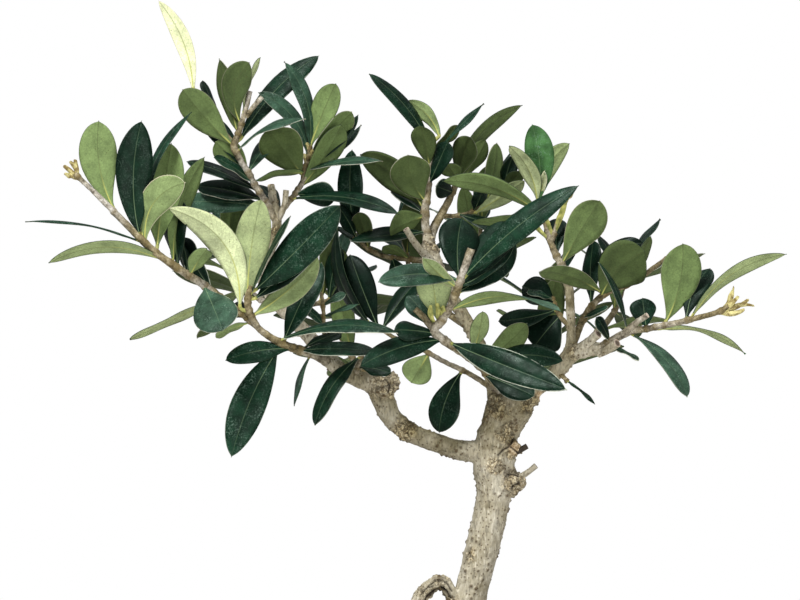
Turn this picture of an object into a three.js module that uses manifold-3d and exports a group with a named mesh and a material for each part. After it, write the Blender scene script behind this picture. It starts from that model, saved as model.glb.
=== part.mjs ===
// An olive bonsai in a plain unglazed tray: pot, drainage meshes, soil, trunk with its limbs, leafy sprays.
// Millimetres, +Z up, the front of the tree towards -Y. The origin is the middle of the pot's footprint.

import * as THREE from "three";
import Module from "manifold-3d";

const wasm = await Module();
wasm.setup();

// ---------- driving dimensions ----------

const POT_LENGTH = 196; // over the rim, along X
const POT_DEPTH = 142; // over the rim, along Y
const POT_HEIGHT = 46; // rim above the surface that the feet stand on
const POT_CORNER = 34; // radius of the rim's corners
const POT_TAPER = 9; // how far each wall leans in towards its foot
const POT_WALL = 6;
const POT_FLOOR = 7;
const RIM_BAND = 7; // height of the band under the rim
const RIM_STEP = 2.5; // how far the band stands proud of the wall
const RIM_ROUND = 1.2; // bevel of the band's edges
const FOOT_BEVEL = 2.5; // of the wall's lower edge
const FOOT_HEIGHT = 6;
const FOOT_LENGTH = 34;
const FOOT_DEPTH = 16;
const FOOT_ROUND = 6;
const FOOT_FROM_SIDE = 12; // each foot stands in from the wall's foot, along X
const FOOT_FROM_FRONT = 6; // and along Y
const DRAIN_RADIUS = 8;
const DRAIN_SIDES = 20;
const DRAIN_PLACE = 42; // each drainage hole from the pot's middle, along X

const MESH_SIZE = 26; // side of the square drainage mesh
const MESH_THICK = 1.2;
const MESH_PITCH = 6.6;
const MESH_HOLE = 4.4;
const MESH_HOLES = 3; // in a row
const MESH_ROUND = 2; // radius of the sheet's corners

const SOIL_EDGE = 39; // height of the soil at the pot's wall
const SOIL_TOP = 48; // height of the mound at the trunk
const SOIL_BEVEL = 1.5; // the soil's edge slopes down to the wall over this height
// The mound between the wall and the trunk: share of the way in, share of the rise.
const MOUND = [
  [0.04, 0],
  [0.35, 0.35],
  [0.65, 0.75],
  [0.85, 1],
];
const GAP = 0.3; // clearance between pieces that touch

// The tree is laid out on a grid. "right" counts from the crown's left, "down" from its highest leaf,
// and "out" from the trunk's middle towards the front.
const GRID = 0.4;
const MIDDLE_COLUMN = 406.5;
const SOIL_ROW = 650;
const MIDDLE_OUT = -35;

const LEAF_THICK = 0.9; // at the midrib, which stands out of the underside
const LEAF_ARCH = 0.05; // the blade bends over its underside by this share of its length
const STALK_WIDTH = 1.3;
const STALK_THICK = 1.1;
// Stations of a blade from its stalk to its tip: share of the length, share of the width.
const LEAF_STATIONS = [
  [0.14, 0.3],
  [0.46, 0.97],
  [0.8, 0.74],
];

const TRUNK_SIDES = 10;
const LIMB_SIDES = 7;
const TWIG_SIDES = 5;

// ---------- shared geometry ----------

const FRONT = new THREE.Vector3(0, -1, 0);
const UP = new THREE.Vector3(0, 0, 1);

function spot(right, down, out) {
  return new THREE.Vector3(
    (right - MIDDLE_COLUMN) * GRID,
    -(out - MIDDLE_OUT) * GRID,
    SOIL_TOP + (SOIL_ROW - down) * GRID,
  );
}

// A closed solid skinned over rings of points, each ring with as many points as the next. A last ring of one
// point closes to a tip.
function loft(rings) {
  const points = rings.flat();
  const count = rings[0].length;
  const starts = rings.map((ring, i) => i * count);
  const faces = [];
  for (let k = 1; k < count - 1; k++) faces.push([0, k + 1, k]);
  for (let i = 0; i + 1 < rings.length; i++) {
    const [a, b] = [starts[i], starts[i + 1]];
    for (let k = 0; k < count; k++) {
      const next = (k + 1) % count;
      if (rings[i + 1].length === 1) {
        faces.push([a + k, a + next, b]);
      } else {
        faces.push([a + k, a + next, b + next], [a + k, b + next, b + k]);
      }
    }
  }
  const end = starts.at(-1);
  if (rings.at(-1).length > 1) {
    for (let k = 1; k < count - 1; k++) faces.push([end, end + k, end + k + 1]);
  }
  const volume = faces.reduce((sum, [i, j, k]) => {
    return sum + points[i].dot(new THREE.Vector3().crossVectors(points[j], points[k]));
  }, 0);
  const turned = volume < 0 ? faces.map(([i, j, k]) => [i, k, j]) : faces;
  const mesh = new wasm.Mesh({
    numProp: 3,
    vertProperties: new Float32Array(points.flatMap((p) => [p.x, p.y, p.z])),
    triVerts: new Uint32Array(turned.flat()),
  });
  return new wasm.Manifold(mesh);
}

function joined(solids) {
  return solids.reduce((sum, solid) => sum.add(solid));
}

// The largest body of a solid: a scrap that a cut leaves loose beside it is dropped.
function largest(solid) {
  return solid.decompose().reduce((best, body) => (body.volume() > best.volume() ? body : best));
}

// A round branch through rows of [right, down, out, radius], all on the grid, made thicker by extra.
function branch(rows, sides, extra = 0) {
  const path = rows.map(([right, down, out]) => spot(right, down, out));
  const along = path.map((p, i) => {
    const before = path[Math.max(i - 1, 0)];
    const after = path[Math.min(i + 1, path.length - 1)];
    return after.clone().sub(before).normalize();
  });
  let across = new THREE.Vector3().crossVectors(along[0], FRONT).normalize();
  const rings = path.map((centre, i) => {
    across = across.clone().addScaledVector(along[i], -across.dot(along[i])).normalize();
    const third = new THREE.Vector3().crossVectors(along[i], across);
    const radius = rows[i][3] * GRID + extra;
    return Array.from({ length: sides }, (_, k) => {
      const angle = (2 * Math.PI * k) / sides;
      return centre
        .clone()
        .addScaledVector(across, radius * Math.cos(angle))
        .addScaledVector(third, radius * Math.sin(angle));
    });
  });
  return loft(rings);
}

// The place on a spray's twigs that is nearest to a leaf's base, seen from the front.
function nearestOn(twigs, right, down) {
  let best = { gap: Infinity };
  for (const rows of twigs) {
    for (let i = 0; i + 1 < rows.length; i++) {
      const [r0, d0, o0] = rows[i];
      const [r1, d1, o1] = rows[i + 1];
      const length2 = (r1 - r0) ** 2 + (d1 - d0) ** 2;
      const dot = (right - r0) * (r1 - r0) + (down - d0) * (d1 - d0);
      const t = Math.min(Math.max(dot / length2, 0), 1);
      const [r, d, o] = [r0 + t * (r1 - r0), d0 + t * (d1 - d0), o0 + t * (o1 - o0)];
      const gap = Math.hypot(right - r, down - d);
      if (gap < best.gap) best = { gap, place: [r, d, o] };
    }
  }
  return best.place;
}

// One leaf, as a thin closed blade on its stalk, flat above and keeled below by its midrib. The stalk starts
// at root on the twig's axis, upper is the way that the blade's upper side faces, and side bends the blade
// sideways in its own plane.
function blade(root, base, tip, upper, width, side) {
  const chord = tip.clone().sub(base);
  const length = chord.length();
  const heading = chord.clone().normalize();
  const face = upper.clone().addScaledVector(heading, -upper.dot(heading)).normalize();
  const bend = side.clone().addScaledVector(face, LEAF_ARCH * length);
  const middle = base.clone().add(tip).multiplyScalar(0.5).addScaledVector(bend, 2);
  const curve = new THREE.QuadraticBezierCurve3(base, middle, tip);
  const section = (centre, along, wide, thick) => {
    const normal = face.clone().addScaledVector(along, -face.dot(along)).normalize();
    const across = new THREE.Vector3().crossVectors(along, normal);
    return [
      centre.clone().addScaledVector(across, wide / 2),
      centre.clone().addScaledVector(across, -wide / 2),
      centre.clone().addScaledVector(normal, -thick),
    ];
  };
  const neck = curve.getPoint(LEAF_STATIONS[0][0]);
  const rings = [section(root, neck.clone().sub(root).normalize(), STALK_WIDTH, STALK_THICK)];
  for (const [share, wide] of LEAF_STATIONS) {
    rings.push(section(curve.getPoint(share), curve.getTangent(share), wide * width, LEAF_THICK));
  }
  rings.push([tip]);
  return loft(rings);
}

// A leaf from a row of [base right, base down, tip right, tip down, tip out from base, width, roll, bow]. A
// roll of 0 turns the upper side to the front and 180 the underside, and the bow is to the right of the way
// that the leaf points, seen from the front.
function rowBlade(twigs, [right, down, tipRight, tipDown, tipOut, width, roll, bow]) {
  const place = nearestOn(twigs, right, down);
  const root = spot(...place);
  const base = spot(right, down, place[2]);
  const tip = spot(tipRight, tipDown, place[2] + tipOut);
  const heading = tip.clone().sub(base).normalize();
  const facing = FRONT.clone().addScaledVector(heading, -FRONT.dot(heading)).normalize();
  const across = new THREE.Vector3().crossVectors(heading, facing);
  const angle = THREE.MathUtils.degToRad(roll);
  const upper = facing.multiplyScalar(Math.cos(angle)).addScaledVector(across, Math.sin(angle));
  return blade(root, base, tip, upper, width * GRID, across.clone().multiplyScalar(bow * GRID));
}

// The same share between 0 and 1 for the same number each time, for small natural differences.
function chance(seed) {
  const wave = Math.sin(seed * 12.9898) * 43758.5453;
  return wave - Math.floor(wave);
}

const BACK_LEAF_LENGTH = 34;
const BACK_LEAF_WIDTH = 10.5;
const BACK_LEAF_LEAN = 0.75; // how much a leaf leans along its twig
const BACK_LEAF_FACE = [0.6, -0.25]; // its upper side turns along the twig, and in towards it
const FIRST_PAIR = 0.3; // share of the twig below the first pair of leaves
const PAIRS_SPAN = 0.66; // share of the twig that carries them
const END_LEAF = 0.97; // share of the twig where the last leaf grows

// Opposite pairs of leaves up a twig, each pair turned a quarter from the last, and one leaf at its end.
function pairedBlades(rows, pairs, seed) {
  const path = new THREE.CatmullRomCurve3(rows.map(([right, down, out]) => spot(right, down, out)));
  const leaves = [];
  const add = (root, along, outward, size) => {
    const heading = outward.clone().addScaledVector(along, BACK_LEAF_LEAN).normalize();
    const tip = root.clone().addScaledVector(heading, BACK_LEAF_LENGTH * size);
    const [forward, inward] = BACK_LEAF_FACE;
    const upper = UP.clone().addScaledVector(along, forward).addScaledVector(outward, inward);
    leaves.push(blade(root, root, tip, upper, BACK_LEAF_WIDTH * size, new THREE.Vector3()));
  };
  for (let i = 0; i < pairs; i++) {
    const share = FIRST_PAIR + (PAIRS_SPAN * i) / (pairs - 0.5);
    const root = path.getPoint(share);
    const along = path.getTangent(share);
    const level = new THREE.Vector3().crossVectors(along, UP).normalize();
    const turn = (i % 2) * (Math.PI / 2) + 0.5 * (chance(seed + i) - 0.5);
    const outward = level.applyAxisAngle(along, turn);
    const size = 0.85 + 0.3 * chance(seed + 31 + i);
    add(root, along, outward, size);
    add(root, along, outward.clone().negate(), size * (0.9 + 0.2 * chance(seed + 57 + i)));
  }
  const end = path.getPoint(END_LEAF);
  const along = path.getTangent(END_LEAF);
  const level = new THREE.Vector3().crossVectors(along, UP).normalize();
  add(end, along, level.multiplyScalar(0.3), 0.9);
  return leaves;
}

// ---------- pot, drainage meshes and soil ----------

const CORNER_STEPS = 4;
const BLOCK_ARC = [0, 1 / 3, 2 / 3, 1]; // where a block's rounded corner has its points
const MIN_CORNER = 8; // smallest radius of the tray's corners

// A rounded rectangle at a height, inset from the rim's outline.
function trayRing(height, inset) {
  const radius = Math.max(POT_CORNER - inset, MIN_CORNER);
  const ring = [];
  for (let corner = 0; corner < 4; corner++) {
    const toRight = corner === 0 || corner === 3 ? 1 : -1;
    const toBack = corner < 2 ? 1 : -1;
    const x = toRight * (POT_LENGTH / 2 - inset - radius);
    const y = toBack * (POT_DEPTH / 2 - inset - radius);
    for (let k = 0; k <= CORNER_STEPS; k++) {
      const angle = (Math.PI / 2) * (corner + k / CORNER_STEPS);
      ring.push(new THREE.Vector3(x + radius * Math.cos(angle), y + radius * Math.sin(angle), height));
    }
  }
  return ring;
}

// An upright plug that cuts a drainage hole.
function disc(radius, low, high, x) {
  const ring = (z) =>
    Array.from({ length: DRAIN_SIDES }, (_, k) => {
      const angle = (2 * Math.PI * k) / DRAIN_SIDES;
      return new THREE.Vector3(x + radius * Math.cos(angle), radius * Math.sin(angle), z);
    });
  return loft([ring(low), ring(high)]);
}

// An upright block with rounded or square corners.
function block(x, y, low, high, length, depth, round) {
  const [a, b] = [length / 2, depth / 2];
  const corners = [[a, b], [-a, b], [-a, -b], [a, -b]];
  const points = corners.flatMap(([u, v], corner) => {
    if (round === 0) return [[u, v]];
    return BLOCK_ARC.map((share) => {
      const angle = (Math.PI / 2) * (corner + share);
      const [inX, inY] = [u - Math.sign(u) * round, v - Math.sign(v) * round];
      return [inX + round * Math.cos(angle), inY + round * Math.sin(angle)];
    });
  });
  const ring = (z) => points.map(([u, v]) => new THREE.Vector3(x + u, y + v, z));
  return loft([ring(low), ring(high)]);
}

const WALL_FOOT = FOOT_HEIGHT;
const INNER_FLOOR = FOOT_HEIGHT + POT_FLOOR;
const BAND_LOW = POT_HEIGHT - RIM_BAND;

// How far the outside of the wall stands in from the rim's outline at a height.
function wallInset(height) {
  const share = (BAND_LOW - height) / (BAND_LOW - WALL_FOOT);
  return RIM_STEP + POT_TAPER * share;
}

// How far the inside of the wall stands in from the rim's outline at a height.
function cavityInset(height) {
  const share = (POT_HEIGHT - height) / (POT_HEIGHT - INNER_FLOOR);
  return THREE.MathUtils.lerp(RIM_STEP + POT_WALL, wallInset(INNER_FLOOR) + POT_WALL, share);
}

function makePot() {
  const outside = loft([
    trayRing(WALL_FOOT, wallInset(WALL_FOOT) + FOOT_BEVEL),
    trayRing(WALL_FOOT + FOOT_BEVEL, wallInset(WALL_FOOT + FOOT_BEVEL)),
    trayRing(BAND_LOW, RIM_STEP),
    trayRing(BAND_LOW + RIM_ROUND, 0),
    trayRing(POT_HEIGHT - RIM_ROUND, 0),
    trayRing(POT_HEIGHT, RIM_ROUND),
  ]);
  const inside = loft([
    trayRing(INNER_FLOOR, cavityInset(INNER_FLOOR)),
    trayRing(POT_HEIGHT + 1, cavityInset(POT_HEIGHT + 1)),
  ]);
  const footX = POT_LENGTH / 2 - wallInset(WALL_FOOT) - FOOT_LENGTH / 2 - FOOT_FROM_SIDE;
  const footY = POT_DEPTH / 2 - wallInset(WALL_FOOT) - FOOT_DEPTH / 2 - FOOT_FROM_FRONT;
  const feet = [];
  for (const x of [-footX, footX]) {
    for (const y of [-footY, footY]) {
      feet.push(block(x, y, 0, WALL_FOOT + POT_FLOOR / 2, FOOT_LENGTH, FOOT_DEPTH, FOOT_ROUND));
    }
  }
  const shell = joined([outside, ...feet]).subtract(inside);
  const drains = [-DRAIN_PLACE, DRAIN_PLACE].map((x) => disc(DRAIN_RADIUS, 0, INNER_FLOOR + 1, x));
  return shell.subtract(joined(drains));
}

const MESH_LOW = INNER_FLOOR + GAP;
const MESH_HIGH = MESH_LOW + MESH_THICK;

// A square sheet of plastic mesh that keeps the soil off one drainage hole.
function makeDrainMesh(x) {
  const sheet = block(x, 0, MESH_LOW, MESH_HIGH, MESH_SIZE, MESH_SIZE, MESH_ROUND);
  const holes = [];
  const reach = ((MESH_HOLES - 1) / 2) * MESH_PITCH;
  for (let i = 0; i < MESH_HOLES; i++) {
    for (let j = 0; j < MESH_HOLES; j++) {
      const [dx, dy] = [i * MESH_PITCH - reach, j * MESH_PITCH - reach];
      holes.push(block(x + dx, dy, MESH_LOW - 1, MESH_HIGH + 1, MESH_HOLE, MESH_HOLE, 0));
    }
  }
  return sheet.subtract(joined(holes));
}

const TRUNK_COLUMN = 457; // where the trunk meets the soil
const SOIL_MIDDLE = spot(TRUNK_COLUMN, SOIL_ROW, 0);
const SOIL_GAP = 1.5 * GAP; // to the wall, whose corners have fewer points than an arc

// A ring of the soil's top, drawn in from the wall towards the trunk.
function moundRing(share, height) {
  return trayRing(height, cavityInset(height) + SOIL_GAP).map((p) => {
    return new THREE.Vector3(
      THREE.MathUtils.lerp(p.x, SOIL_MIDDLE.x, share),
      THREE.MathUtils.lerp(p.y, SOIL_MIDDLE.y, share),
      height,
    );
  });
}

function makeSoil(clearance) {
  const rise = SOIL_TOP - SOIL_EDGE;
  const mound = loft([
    trayRing(INNER_FLOOR + GAP, cavityInset(INNER_FLOOR + GAP) + SOIL_GAP),
    moundRing(0, SOIL_EDGE - SOIL_BEVEL),
    ...MOUND.map(([share, up]) => moundRing(share, SOIL_EDGE + rise * up)),
  ]);
  const beds = [-DRAIN_PLACE, DRAIN_PLACE].map((x) => {
    const side = MESH_SIZE + 2 * GAP;
    return block(x, 0, MESH_LOW - 1, MESH_HIGH + GAP, side, side, MESH_ROUND);
  });
  return mound.subtract(joined(beds)).subtract(clearance);
}

// ---------- trunk, limbs and arching root ----------

const TRUNK = [
  [452, 694, 0, 17], [454, 668, 0, 26], [457, 650, 0, 23.5], [463, 628, 0, 19], [469.5, 600, 0, 17],
  [474, 580, 0, 16.3], [479.3, 560, 0, 16.8], [484.3, 540, 0, 16.8], [489, 520, 0, 17], [493, 500, 0, 17],
  [495, 485, 0, 18.5], [494, 470, 0, 21], [495, 455, 0, 20.5], [494, 440, 0, 18.5], [499.5, 430, 0, 19.5],
  [506, 415, 0, 22.5], [511.5, 400, 0, 24], [513, 391, 0, 20], [514, 386, 0, 12],
];

const LIMBS = [
  // The root that arches clear of the soil.
  [
    [470, 622, 2, 8], [457, 606, 8, 7.5], [450, 592, 10, 7], [442, 582, 11, 7.5], [430, 587, 12, 7.5],
    [420, 598, 13, 7.5], [412, 615, 14, 8], [408, 640, 15, 9], [404, 672, 16, 9],
  ],
  // Surface roots that spread from the foot of the trunk into the soil.
  [[462, 630, 0, 15], [486, 650, 8, 11], [508, 664, 14, 7], [528, 682, 18, 5]],
  [[458, 634, -4, 15], [448, 652, -28, 11], [440, 668, -48, 7], [432, 684, -64, 5]],
  [[458, 634, 4, 15], [462, 653, 26, 10], [468, 668, 42, 7], [474, 684, 56, 5]],
  // Burls, with the stubs of branches that were cut back.
  [[498, 485, 0, 13], [512, 483, 3, 14], [523, 480, 4, 11.5], [530, 477, 4, 6]],
  [[516, 480, 5, 4.5], [525, 474, 6, 3], [536, 466, 7, 2.2]],
  [[498, 451, 6, 10], [509, 449, 9, 8.5], [517, 448, 11, 7], [521, 447, 12, 3.5]],
  [[514, 452, 10, 3], [520, 449, 13, 2.4], [527, 446, 14, 2]],
  [[524, 402, 6, 10], [533, 398, 9, 8], [538, 396, 10, 5.5]],
  // Left limb and the knob at its bend.
  [
    [494, 459, 0, 12], [475, 452, 2, 11], [458, 450, 4, 10], [440, 444, 6, 9.5], [420, 437, 8, 9.5],
    [403, 428, 9, 10], [391, 416, 10, 10.5], [384, 402, 10, 11.5], [380, 391, 10, 12.5], [372, 384, 12, 10],
    [357, 379, 20, 8], [340, 371, 29, 6.4], [328, 362, 36, 5.4],
  ],
  [[382, 394, 10, 11], [391, 382, 12, 9], [396, 375, 13, 5]],
  // Left riser, behind the limb's end, with two cut stubs.
  [
    [348, 376, 16, 7.5], [330, 360, 4, 8], [308, 335, -8, 7.4], [285, 312, -16, 6.5], [268, 292, -22, 6],
    [262, 272, -26, 5.5], [270, 250, -29, 5], [276, 235, -31, 5], [276, 215, -33, 5], [273, 200, -34, 4.4],
    [271, 184, -35, 3.8],
  ],
  [[277, 220, -32, 4.2], [284, 206, -29, 3.6], [286, 190, -28, 3.5]],
  // Middle riser, with its cut stub.
  [
    [502, 398, -4, 15], [496, 382, -12, 11], [490, 368, -20, 8.5], [474, 335, -30, 6.6],
    [463, 315, -36, 6.5],
    [448, 290, -42, 6.5], [437, 265, -47, 6.6], [429, 244, -51, 7], [427, 234, -53, 4.5],
  ],
  [[434, 264, -44, 4.4], [415, 243, -28, 3.4], [406, 229, -22, 3]],
  // Right limb, its riser and its cut stub.
  [
    [505, 400, 0, 18], [518, 394, 2, 13], [532, 389, 5, 9.8], [545, 382, 8, 7.8], [560, 368, 10, 8],
    [573, 353, 12, 9], [590, 350, 14, 6.6], [602, 347.5, 15, 6],
  ],
  [
    [569, 358, 11, 7], [571, 340, 8, 5.2], [571, 325, 5, 4.7], [570, 305, 2, 4.6], [569, 288, 0, 4.6],
    [565, 272, -3, 4.5],
  ],
  [[579, 353, 12, 5.4], [588, 342, 10, 4.8], [597, 334, 9, 4.6]],
];

function makeWood(extra = 0) {
  const limbs = LIMBS.map((rows) => branch(rows, LIMB_SIDES, extra));
  return joined([branch(TRUNK, TRUNK_SIDES, extra), ...limbs]);
}

// ---------- leafy sprays ----------

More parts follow.
